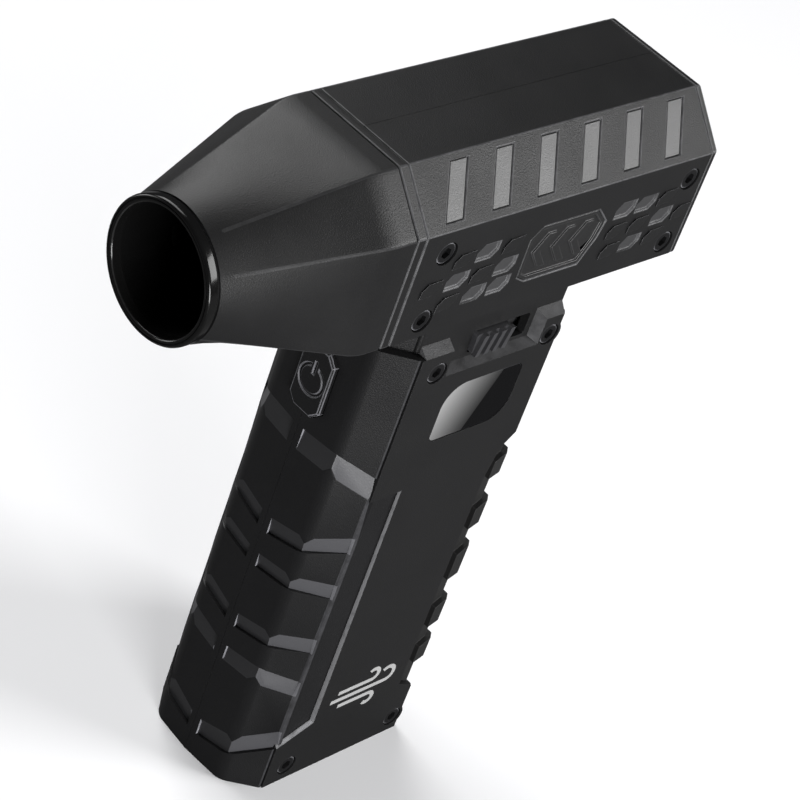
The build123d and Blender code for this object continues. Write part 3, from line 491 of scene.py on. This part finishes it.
def house_turns(steps):
    """Turns round the outlet axis that take in the six corners and steps - 1 places between each two."""
    corners = [
        (EAVES_HALF, BELLY_Z), (EAVES_HALF, EAVES_Z), (ROOF_HALF, ROOF_Z),
        (-ROOF_HALF, ROOF_Z), (-EAVES_HALF, EAVES_Z), (-EAVES_HALF, BELLY_Z),
    ]
    turns = []
    for (y0, z0), (y1, z1) in zip(corners, corners[1:] + corners[:1]):
        for step in range(steps):
            y, z = y0 + (y1 - y0) * step / steps, z0 + (z1 - z0) * step / steps
            turns.append(atan2(z - AXIS_Z, y))
    return turns


def set_ring(verts, x, reach):
    """Moves a ring's points to x, and out or in to the reach in their own direction."""
    for vert in verts:
        turn = atan2(vert.co.z - AXIS_Z, vert.co.y)
        far = reach(turn)
        vert.co = (x, far * cos(turn), AXIS_Z + far * sin(turn))


def next_ring(bm, edges, x, reach):
    """Extrudes a ring of edges and moves the new ring into place."""
    made = bmesh.ops.extrude_edge_only(bm, edges=edges)["geom"]
    set_ring(of_kind(made, BMVert), x, reach)
    return of_kind(made, BMEdge)


def spin_round(bm, verts, steps):
    """Joins the points in a closed line and spins it full circle round the outlet axis."""
    edges = [bm.edges.new((a, b)) for a, b in zip(verts, verts[1:] + verts[:1])]
    bmesh.ops.spin(
        bm, geom=verts + edges, cent=(0, 0, AXIS_Z), axis=(1, 0, 0), angle=2 * pi, steps=steps, use_merge=True,
        use_duplicate=False, dvec=(0, 0, 0))
    bmesh.ops.remove_doubles(bm, verts=bm.verts, dist=1e-6)
    bmesh.ops.recalc_face_normals(bm, faces=bm.faces)


class BlowerOperator:
    """What every operator of the blower shares."""

    bl_options = {"REGISTER", "UNDO"}

    def execute(self, context):
        self.build(context.scene.blower_finish, context.scene.blower_edges, context.scene.blower_studio)
        return {"FINISHED"}


# ---------------------------------------------------------------- studio
class BLOWER_OT_studio(BlowerOperator, bpy.types.Operator):
    """Makes the floor, the soft lights and the camera"""

    bl_idname = "blower.studio"
    bl_label = "Studio"

    def build(self, finish, edges, studio):
        bm = bmesh.new()
        bmesh.ops.create_grid(bm, x_segments=8, y_segments=8, size=3.0)
        mesh = bpy.data.meshes.new("floor")
        bm.to_mesh(mesh)
        bm.free()
        floor = bpy.data.objects.new("floor", mesh)
        bpy.context.scene.collection.objects.link(floor)
        material = bpy.data.materials.new("floor paint")
        material.use_nodes = True
        tree = material.node_tree
        shader = tree.nodes["Principled BSDF"]
        place = add_node(tree, "ShaderNodeTexCoord").outputs["Object"]
        paint = blend(tree, noise(tree, place, 3.0, 3.0), tint(studio.floor, 0.99), tint(studio.floor, 1.01))
        seen = add_node(tree, "ShaderNodeLightPath").outputs["Is Camera Ray"]
        flagged = blend(tree, seen, tint(studio.floor, studio.bounce), paint)
        tree.links.new(flagged, shader.inputs["Base Color"])
        shader.inputs["Roughness"].default_value = 0.9
        shader.inputs["Specular IOR Level"].default_value = 0.1
        mesh.materials.append(material)

        middle = Vector((0.0, 0.0, 0.12))
        for name, power, size, place in (
            ("overhead softbox", studio.overhead, 1.1, (0.15, 0.95, 1.15)),
            ("side softbox", studio.side, 0.5, (0.64, -0.73, 0.57)),
            ("corner softbox", studio.corner, 0.36, (-0.32, -0.62, 0.06)),
            ("front softbox", studio.front, 0.4, (-0.5, 0.8, 0.08)),
        ):
            light = bpy.data.lights.new(name, "AREA")
            light.energy = power
            light.size = size
            lamp = bpy.data.objects.new(name, light)
            lamp.location = place
            lamp.rotation_euler = (middle - Vector(place)).to_track_quat("-Z", "Y").to_euler()
            bpy.context.scene.collection.objects.link(lamp)

        world = bpy.data.worlds.new("studio")
        world.use_nodes = True
        backdrop = world.node_tree.nodes["Background"]
        backdrop.inputs["Color"].default_value = (0.9, 0.93, 1.0, 1.0)
        backdrop.inputs["Strength"].default_value = 0.05
        bpy.context.scene.world = world
        bpy.context.scene.view_settings.view_transform = "Standard"

        lens = bpy.data.cameras.new("camera")
        lens.lens = 121.5
        lens.sensor_width = 36
        lens.clip_start = 0.01
        camera = bpy.data.objects.new("camera", lens)
        camera.location = (-0.4231, -0.2973, 0.4813)
        camera.rotation_euler = (radians(52.342), radians(-16.624), radians(-42.844))
        bpy.context.scene.collection.objects.link(camera)
        bpy.context.scene.camera = camera


# ---------------------------------------------------------------- nozzle
class BLOWER_OT_nozzle(BlowerOperator, bpy.types.Operator):
    """Makes the six-sided cone that turns round towards the outlet"""

    bl_idname = "blower.nozzle"
    bl_label = "Nozzle"

    def build(self, finish, edges, studio):
        bm = bmesh.new()
        turns = house_turns(12)
        ring = bmesh.ops.create_circle(bm, segments=len(turns), radius=RIM_R)["verts"]
        for vert, turn in zip(ring, turns):
            vert.co = (0, cos(turn), AXIS_Z + sin(turn))
        set_ring(ring, SEAM_X - GAP, house_reach)
        start = list(bm.edges)
        band_x = SEAM_X - NOZZLE_BAND
        mouth_x = TIP_X + RIM_LEN + 0.5 * MM
        loop = next_ring(bm, start, band_x, house_reach)
        shoulder = list(loop)
        for step in range(1, 13):
            share = step / 12
            loop = next_ring(bm, loop, band_x + (mouth_x - band_x) * share,
                             lambda turn: house_reach(turn) * (1 - share) + RIM_R * share)
        lip_r = RIM_R - 0.5 * MM
        loop = next_ring(bm, loop, mouth_x, lambda turn: lip_r)
        loop = next_ring(bm, loop, TIP_X + RIM_LEN, lambda turn: lip_r)
        loop = next_ring(bm, loop, TIP_X + RIM_LEN, lambda turn: BORE_R)
        bore_x = TIP_X + 12 * MM
        loop = next_ring(bm, loop, bore_x, lambda turn: BORE_R)
        for step in range(1, 5):
            share = step / 4
            loop = next_ring(bm, loop, bore_x + (band_x - bore_x) * share,
                             lambda turn: BORE_R * (1 - share) + house_reach(turn, WALL) * share)
        loop = next_ring(bm, loop, SEAM_X - GAP, lambda turn: house_reach(turn, WALL))
        bmesh.ops.bridge_loops(bm, edges=loop + start)
        bmesh.ops.recalc_face_normals(bm, faces=bm.faces)
        edge_layer(bm)
        soften(bm, shoulder, edges.shoulder, segments=6, worn=0.0)
        ridges = [
            e for e in sharp_edges(bm, 9)
            if abs(e.verts[0].co.x - e.verts[1].co.x) > 0.1 * MM and edge_middle(e).x < SEAM_X - 2 * GAP
            and (edge_middle(e).yz - Vector((0, AXIS_Z))).length > BORE_R + 0.5 * MM]
        soften(bm, ridges, edges.ridge, worn=0.25)
        # Faces inside the bore take a darker copy of the plastic: painted shade
        for face in bm.faces:
            middle = face.calc_center_median()
            along = (middle.x - TIP_X) / (SEAM_X - TIP_X)
            inner_reach = RIM_R - 1.0 * MM + 6 * MM * along
            if (middle.yz - Vector((0, AXIS_Z))).length < inner_reach and middle.x < band_x:
                face.material_index = 1
        cone = make_piece(
            "nozzle_cone_skin", bm, "housing", finish_of("housing"), ["nozzle_cone"])
        cone.data.materials.append(finish_of("bore"))


class BLOWER_OT_rim(BlowerOperator, bpy.types.Operator):
    """Makes the glossy rim round the outlet"""

    bl_idname = "blower.rim"
    bl_label = "Outlet rim"

    def build(self, finish, edges, studio):
        # Depth behind the tip and distance from the axis, in mm, from the bore round the lip to the outside
        profile = [
            (2.6, 14.1), (0.75, 14.1), (0.35, 14.18), (0.1, 14.4), (0.0, 14.7), (0.05, 14.95), (0.3, 15.05),
            (0.3, 15.2), (0.05, 15.28), (0.05, 15.5), (0.18, 15.78), (0.42, 15.94), (0.75, 16.0), (2.25, 16.0),
            (2.5, 15.92), (2.6, 15.7),
        ]
        bm = bmesh.new()
        verts = [bm.verts.new((TIP_X + x * MM, 0, AXIS_Z + r * MM)) for x, r in profile]
        spin_round(bm, verts, 120)
        layer = edge_layer(bm)
        # Marks the lip's inner faces as worn and lit: lightened as wear and as a painted highlight
        for face in bm.faces:
            middle = face.calc_center_median()
            reach = (middle.yz - Vector((0, AXIS_Z))).length
            face[layer] = 1.0 if reach < 14.5 * MM and middle.x < TIP_X + 0.4 * MM else 0.0
        make_piece("nozzle_rim_skin", bm, "housing", finish_of("gloss"), ["nozzle_rim"])


# ---------------------------------------------------------------- head
class BLOWER_OT_head(BlowerOperator, bpy.types.Operator):
    """Makes the head's shells, collar and rear cover with rounded edges"""

    bl_idname = "blower.head"
    bl_label = "Head"

    def build(self, finish, edges, studio):
        for node in ("collar_ring", "rear_cover"):
            soft_copy(node, "housing", finish_of("housing"), edges.shell, clamp=False)
        for node in ("head_shell_left", "head_shell_right"):
            bm = merged_copy(node)
            outside = outer_edges(bm)
            seats = screw_edges(outside, HEAD_SCREWS)
            soften(bm, seats, edges.fine, worn=0.3)
            rounded = set(seats)
            soften(bm, [e for e in outside if e.is_valid and e not in rounded], edges.shell, clamp=False)
            for face in bm.faces:
                # The floors of the cell pockets take a lighter copy of the housing plastic: a painted highlight
                depth = EAVES_HALF - abs(face.calc_center_median().y)
                if abs(face.normal.y) > 0.99 and 0.5 * MM < depth < 0.7 * MM:
                    face.material_index = 1
            shell = make_piece(node + "_skin", bm, "housing", finish_of("housing"), [node])
            shell.data.materials.append(finish_of("cell"))


class BLOWER_OT_honeycomb(BlowerOperator, bpy.types.Operator):
    """Makes the raised honeycomb cells that sink into the head's sides"""

    bl_idname = "blower.honeycomb"
    bl_label = "Honeycomb"

    def build(self, finish, edges, studio):
        cells = [
            (14.6, 6.0), (30.0, 6.1), (22.2, 0.2), (6.9, 0.2), (13.9, -5.4),
            (81.8, 6.0), (89.8, 0.1), (74.2, 0.2), (66.6, 0.2), (82.0, -5.1), (67.0, -5.4),
        ]
        wide, tall, cut = 6.2 * MM, 3.8 * MM, 1.7 * MM
        corners = [(cut, 0), (wide, 0), (wide, cut - tall), (wide - cut, -tall), (0, -tall), (0, -cut)]
        bm = bmesh.new()
        edge_layer(bm)
        for left, top in cells:
            x0, z0 = SEAM_X + left * MM, AXIS_Z + top * MM
            base = bm.faces.new([bm.verts.new((x0 + x, -EAVES_HALF + 0.05 * MM, z0 + z)) for x, z in corners])
            raised = bmesh.ops.extrude_face_region(bm, geom=[base])["geom"]
            for vert in of_kind(raised, BMVert):
                away = ((vert.co.x - x0) / wide + (z0 - vert.co.z) / tall) / 2
                vert.co.y -= (0.05 + 0.6 * max(0.0, 0.85 - away)) * MM
        bmesh.ops.recalc_face_normals(bm, faces=bm.faces)
        # The cells' rounds are marked strongly as worn and lit: a painted highlight on their edges
        soften(bm, sharp_edges(bm, 8), 0.3 * MM, worn=2.5)
        bmesh.ops.mirror(bm, geom=bm.verts[:] + bm.edges[:] + bm.faces[:], axis="Y", merge_dist=-1)
        bmesh.ops.recalc_face_normals(bm, faces=bm.faces)
        make_piece("honeycomb_cells", bm, "housing", finish_of("housing"))


class BLOWER_OT_inlays(BlowerOperator, bpy.types.Operator):
    """Makes the leaning inlays of the roof slopes and the badge plates"""

    bl_idname = "blower.inlays"
    bl_label = "Inlays and badges"

    def build(self, finish, edges, studio):
        soft_copy("roof_inlays", "housing", finish_of("inlay"), edges.fine)
        soft_copy("side_badges", "housing", finish_of("trim"), edges.fine)


# ---------------------------------------------------------------- handle
class BLOWER_OT_handle(BlowerOperator, bpy.types.Operator):
    """Makes the handle's shells and base with rounded edges"""

    bl_idname = "blower.handle"
    bl_label = "Handle"

    def build(self, finish, edges, studio):
        for node in ("handle_shell_left", "handle_shell_right"):
            bm = merged_copy(node)
            # The strip's slope is marked strongly as worn and lit: a painted highlight
            soften(bm, self.strip_edges(bm), edges.strip, segments=1, worn=2.5, clamp=False)
            soften(bm, outer_edges(bm, 55), edges.shell)
            if node == "handle_shell_left":
                ledge_z, shoulder_z = LEDGE_Z + 1.3, SHOULDER_Z + 1.9
                self.add_slope(bm, [
                    (-9.2, LEDGE_Z, -9.2, ledge_z), (21.65, LEDGE_Z, 20.0, ledge_z),
                    (21.65, SHOULDER_Z, 20.0, shoulder_z), (27.8, SHOULDER_Z, 28.6, shoulder_z)])
                self.add_slope(bm, [(x, SHOULDER_Z, x, shoulder_z) for x in (-18.4, -9.4)])
            make_piece(node + "_skin", bm, "housing", finish_of("housing"), [node])
        soft_copy("base_plate", "housing", finish_of("housing"), edges.shell)

    def add_slope(self, bm, stations):
        """Adds a slope round the switch's recess: outer and inner corners, in mm, for each station along it."""
        layer = edge_layer(bm)
        outer_y, floor_y = 0.03 * MM - HANDLE_HALF, RECESS_DEPTH - HANDLE_HALF
        rows = [
            [Vector((x0 * MM, outer_y, z0 * MM)), Vector((x1 * MM, floor_y, z1 * MM)),
             Vector((x0 * MM, floor_y, z0 * MM))]
            for x0, z0, x1, z1 in stations]
        start = bm.faces.new([bm.verts.new(point) for point in rows[0]])
        loop, faces = list(start.edges), [start]
        for last, row in zip(rows, rows[1:]):
            made = bmesh.ops.extrude_edge_only(bm, edges=loop)["geom"]
            for vert in of_kind(made, BMVert):
                vert.co = row[min(range(3), key=lambda corner: (last[corner] - vert.co).length)]
            loop = [
                e for e in of_kind(made, BMEdge)
                if all(any((v.co - point).length < 1e-7 for point in row) for v in e.verts)]
            faces += of_kind(made, BMFace)
        faces += bmesh.ops.contextual_create(bm, geom=loop)["faces"]
        bmesh.ops.recalc_face_normals(bm, faces=faces)
        # The slope's faces are marked as worn and lit, which paints a highlight on them
        for face in faces:
            face[layer] = 0.5 if face.normal.z > 0.7 else 0.85

    def strip_edges(self, bm):
        """The shell's edges behind and below the grip's side strip."""
        return [
            e for e in sharp_edges(bm, 55)
            if all(abs(v.co.y) > HANDLE_HALF - 0.02 * MM and RIDGE_X < v.co.x < TAB_X + 0.2 * MM
                   and TAB_LOW - 4.2 * MM < v.co.z < TAB_HIGH + 0.2 * MM for v in e.verts)
            and abs(e.verts[0].co.z - e.verts[1].co.z) > 0.5 * MM]


class BLOWER_OT_grips(BlowerOperator, bpy.types.Operator):
    """Makes the two front grips with their notches"""

    bl_idname = "blower.grips"
    bl_label = "Front grips"

    def build(self, finish, edges, studio):
        for node in ("grip_left", "grip_right"):
            bm = merged_copy(node)
            # The notch floors take lighter copies of the grip plastic: painted highlights
            for slot, floors in enumerate(self.notch_floors(bm), 1):
                for face in floors:
                    face.material_index = slot
            ends = [
                e for e in self.upright_edges(bm, None, 1.75 * MM, 0.06 * MM)
                if edge_middle(e).x < HANDLE_FRONT + 0.3 * MM]
            # The grip's front ends are marked strongly as worn and lit: a painted highlight
            soften(bm, ends, 0.7 * MM, segments=1, worn=2.5, clamp=False)
            corners = self.upright_edges(bm, CROWN_X, FRONT_HALF, 0.05 * MM)
            soften(bm, corners, edges.corner, segments=5, worn=0.0, clamp=False)
            crests = self.upright_edges(bm, RIDGE_X, HANDLE_HALF, 0.05 * MM)
            soften(bm, crests, edges.crest, segments=4, worn=0.25, clamp=False)
            soften(bm, sharp_edges(bm, 35), edges.fine, worn=0.4)
            grip = make_piece(node + "_skin", bm, "housing", finish_of("grip"), [node])
            grip.data.materials.append(finish_of("front notch"))
            grip.data.materials.append(finish_of("chamfer notch"))

    def notch_floors(self, bm):
        """The faces that make the notches' floors: those in the front and those in the chamfer."""
        corner = Vector((CROWN_X, FRONT_HALF, 0))
        faces = ((Vector((HANDLE_FRONT, 0, 0)), corner), (corner, Vector((RIDGE_X, HANDLE_HALF, 0))))
        found = ([], [])
        for floors, (start, end) in zip(found, faces):
            across = (end - start).normalized()
            outward = Vector((-across.y, across.x, 0))
            for face in bm.faces:
                middle = face.calc_center_median()
                middle.y = abs(middle.y)
                normal = face.normal.copy()
                normal.y = abs(normal.y)
                depth = outward.dot(middle - start)
                if -1.0 * MM < depth < -0.08 * MM and normal.dot(outward) > 0.95 and (
                        0 < across.dot(middle - start) < (end - start).length):
                    floors.append(face)
        return found

    def upright_edges(self, bm, x, y, near):
        """The edges that run up the handle at x, if it is given, and at y or -y."""
        return [
            e for e in sharp_edges(bm, 20)
            if all((x is None or abs(v.co.x - x) < near) and abs(abs(v.co.y) - y) < near for v in e.verts)]


class BLOWER_OT_rear_grip(BlowerOperator, bpy.types.Operator):
    """Makes the toothed rubber grip at the handle's back"""

    bl_idname = "blower.rear_grip"
    bl_label = "Rear grip"

    def build(self, finish, edges, studio):
        soft_copy("rear_grip", "housing", finish_of("rubber"), edges.shell)


class BLOWER_OT_controls(BlowerOperator, bpy.types.Operator):
    """Makes the power button, the slider's knob and the display window"""

    bl_idname = "blower.controls"
    bl_label = "Controls"

    def build(self, finish, edges, studio):
        soft_copy("power_button", "button", finish_of("grip"), edges.shell)
        # The knob takes a lighter copy of the grip plastic: a painted highlight
        soft_copy("slider_knob", "slider", finish_of("knob"), edges.fine)
        soft_copy("display_window", "housing", finish_of("glass"), edges.fine)


class BLOWER_OT_screws(BlowerOperator, bpy.types.Operator):
    """Makes the black socket screws of the head and the handle"""

    bl_idname = "blower.screws"
    bl_label = "Screws"

    def build(self, finish, edges, studio):
        for name, places, face in (
            ("head_screws", HEAD_SCREWS, EAVES_HALF), ("handle_screws", HANDLE_SCREWS, HANDLE_HALF)):
            bm = bmesh.new()
            edge_layer(bm)
            for side in (LEFT, RIGHT):
                for x, z in places:
                    self.add_screw(bm, Vector((x, side * (face - 0.3 * MM), z)), side)
            bmesh.ops.recalc_face_normals(bm, faces=bm.faces)
            make_piece(name + "_skin", bm, "housing", finish_of("screw"), [name])

    def add_screw(self, bm, place, side):
        """Adds one screw whose head's face is at place."""
        layer = edge_layer(bm)
        turn = Matrix.Translation(place) @ Matrix.Rotation(-side * pi / 2, 4, "X")
        mouth = bmesh.ops.create_circle(bm, segments=6, radius=1.45 * MM, matrix=turn)["verts"]
        hexagon = list({e for v in mouth for e in v.link_edges})
        edge = bmesh.ops.create_circle(bm, segments=48, radius=2.3 * MM, matrix=turn)["verts"]
        loop = list({e for v in edge for e in v.link_edges})
        bmesh.ops.bridge_loops(bm, edges=hexagon + loop)
        away = Vector((0, side, 0))
        # Distance from the screw's axis and depth below its face, in mm, and how worn and lit that stretch is, as
        # wear and a painted highlight
        for reach, depth, worn in (
            (2.5, 0.05, 0.2), (2.68, 0.16, 1.6), (2.75, 0.35, 0.2),
            (2.75, 1.6, 0.0), (1.5, 1.6, 0.0), (1.5, 7.6, 0.0)):
            made = bmesh.ops.extrude_edge_only(bm, edges=loop)["geom"]
            for vert in of_kind(made, BMVert):
                out = vert.co - place
                out.y = 0
                vert.co = place + out.normalized() * reach * MM - away * depth * MM
            loop = of_kind(made, BMEdge)
            for face in of_kind(made, BMFace):
                face[layer] = worn
        bmesh.ops.contextual_create(bm, geom=loop)
        made = bmesh.ops.extrude_edge_only(bm, edges=hexagon)["geom"]
        for vert in of_kind(made, BMVert):
            vert.co -= away * 1.1 * MM
        bmesh.ops.contextual_create(bm, geom=of_kind(made, BMEdge))


class BLOWER_OT_symbol(BlowerOperator, bpy.types.Operator):
    """Prints the airflow symbol on the handle's side"""

    bl_idname = "blower.symbol"
    bl_label = "Airflow symbol"

    def build(self, finish, edges, studio):
        bm = bmesh.new()
        half = 0.65 * MM
        face_y = -HANDLE_HALF - 0.02 * MM
        # Height, start and end of the straight stretch, radius of the curl and which way it turns, in mm
        for z, start, end, radius, way in (
            (26.2, -2.5, 9.0, 1.9, 1), (23.6, -4.4, 14.6, 2.4, 1), (21.0, -1.0, 10.0, 1.7, -1)):
            low = bm.verts.new((start * MM, face_y, z * MM - half))
            high = bm.verts.new((start * MM, face_y, z * MM + half))
            line = [bm.edges.new((low, high))]
            made = bmesh.ops.extrude_edge_only(bm, edges=line)["geom"]
            bmesh.ops.translate(bm, verts=of_kind(made, BMVert), vec=((end - start) * MM, 0, 0))
            bmesh.ops.spin(
                bm, geom=of_kind(made, (BMVert, BMEdge)), cent=(end * MM, face_y, (z + way * radius) * MM),
                axis=(0, -way, 0), angle=radians(225), steps=16, use_merge=False, use_duplicate=False, dvec=(0, 0, 0))
        bmesh.ops.remove_doubles(bm, verts=bm.verts, dist=1e-7)
        raised = bmesh.ops.extrude_face_region(bm, geom=bm.faces[:])["geom"]
        bmesh.ops.translate(bm, verts=of_kind(raised, BMVert), vec=(0, -0.05 * MM, 0))
        bmesh.ops.recalc_face_normals(bm, faces=bm.faces)
        make_piece("airflow_symbol", bm, "housing", finish_of("symbol"), smooth=False)


# ---------------------------------------------------------------- frame nodes that stay
# Each finish: its material's name, its colour, its values and the nodes that take it
INNER_FINISHES = [
    ("inner plastic", (0.02, 0.02, 0.021), dict(rough=(0.5, 0.62), density=2500), (
        "front_bulkhead", "rear_bulkhead", "bearing_carrier_front", "bearing_carrier_rear",
        "cell_holder_bottom", "cell_holder_middle", "cell_holder_top")),
    ("duct plastic", (0.012, 0.012, 0.013), dict(rough=(0.35, 0.5), density=2500), ("motor_duct", "guide_vanes")),
    ("silicone rings", (0.09, 0.02, 0.018), dict(rough=(0.45, 0.6)), ("duct_rings",)),
    ("cast aluminium", (0.45, 0.46, 0.47), dict(
        rough=(0.28, 0.42), bump=0.2, contrast=0.1, dust=0.0, metallic=0.95), ("hub_cone", "impeller")),
    ("bearing steel", (0.62, 0.62, 0.63), dict(
        rough=(0.14, 0.24), bump=0.1, contrast=0.06, dust=0.0, stretch=(8, 1, 1), metallic=1.0), (
        "rotor_shaft", "ball_bearings", "impeller_nut")),
    ("core steel", (0.2, 0.2, 0.21), dict(
        rough=(0.3, 0.5), bump=0.6, dust=0.0, stretch=(6, 0.2, 0.2), metallic=0.9), ("stator_core",)),
    ("coil copper", (0.55, 0.2, 0.07), dict(
        rough=(0.25, 0.4), bump=0.8, contrast=0.15, dust=0.0, stretch=(0.2, 3, 3), metallic=0.9), ("stator_coils",)),
    ("magnet", (0.12, 0.12, 0.125), dict(rough=(0.35, 0.5), dust=0.0, metallic=0.6), ("rotor_magnet",)),
    ("intake foam", (0.012, 0.012, 0.012), dict(
        rough=(0.85, 0.95), bump=1.0, depth=0.0004, density=900, contrast=0.5), ("intake_filter",)),
    ("port steel", (0.5, 0.5, 0.51), dict(
        rough=(0.2, 0.32), bump=0.1, contrast=0.08, dust=0.0, metallic=1.0), ("usb_port", "cell_tabs")),
    ("cell wrap", (0.02, 0.09, 0.22), dict(rough=(0.3, 0.42), bump=0.1, contrast=0.1), ("battery_cells",)),
    ("board green", (0.012, 0.09, 0.045), dict(rough=(0.35, 0.5), bump=0.3, density=1600, contrast=0.3), (
        "main_board", "button_board", "switch_board", "display_board")),
    ("board parts", (0.03, 0.03, 0.03), dict(rough=(0.4, 0.55)), ("board_parts", "tact_switch", "slide_switch")),
]


class BLOWER_OT_insides(BlowerOperator, bpy.types.Operator):
    """Gives the fan, the cells, the boards and the other inner nodes their finishes"""

    bl_idname = "blower.insides"
    bl_label = "Inner pieces"

    def build(self, finish, edges, studio):
        for name, colour, values, nodes in INNER_FINISHES:
            material = moulded(name, colour, wear=0, **values)
            for node in nodes:
                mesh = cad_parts[node].data
                mesh.materials.clear()
                mesh.materials.append(material)


# ---------------------------------------------------------------- panel and registration
class BLOWER_PT_panel(bpy.types.Panel):
    """Lists the blower's pieces"""

    bl_idname = "BLOWER_PT_panel"
    bl_label = "Turbo Blower"
    bl_space_type = "VIEW_3D"
    bl_region_type = "UI"
    bl_category = "Blower"

    def draw(self, context):
        for operator in OPERATORS:
            self.layout.operator(operator.bl_idname)
        for group in (context.scene.blower_finish, context.scene.blower_edges, context.scene.blower_studio):
            for key in group.__annotations__:
                self.layout.prop(group, key)


OPERATORS = [
    BLOWER_OT_studio, BLOWER_OT_nozzle, BLOWER_OT_rim, BLOWER_OT_head, BLOWER_OT_honeycomb, BLOWER_OT_inlays,
    BLOWER_OT_handle, BLOWER_OT_grips, BLOWER_OT_rear_grip, BLOWER_OT_controls, BLOWER_OT_screws, BLOWER_OT_symbol,
    BLOWER_OT_insides,
]
GROUPS = {"blower_finish": BlowerFinish, "blower_edges": BlowerEdges, "blower_studio": BlowerStudio}


def register():
    for name, group in GROUPS.items():
        bpy.utils.register_class(group)
        setattr(bpy.types.Scene, name, bpy.props.PointerProperty(type=group))
    for cls in [*OPERATORS, BLOWER_PT_panel]:
        bpy.utils.register_class(cls)


def unregister():
    for cls in [BLOWER_PT_panel, *reversed(OPERATORS)]:
        bpy.utils.unregister_class(cls)
    for name, group in GROUPS.items():
        delattr(bpy.types.Scene, name)
        bpy.utils.unregister_class(group)


def main():
    register()
    for operator in OPERATORS:
        family, name = operator.bl_idname.split(".")
        getattr(getattr(bpy.ops, family), name)()


if __name__ == "__main__":
    main()
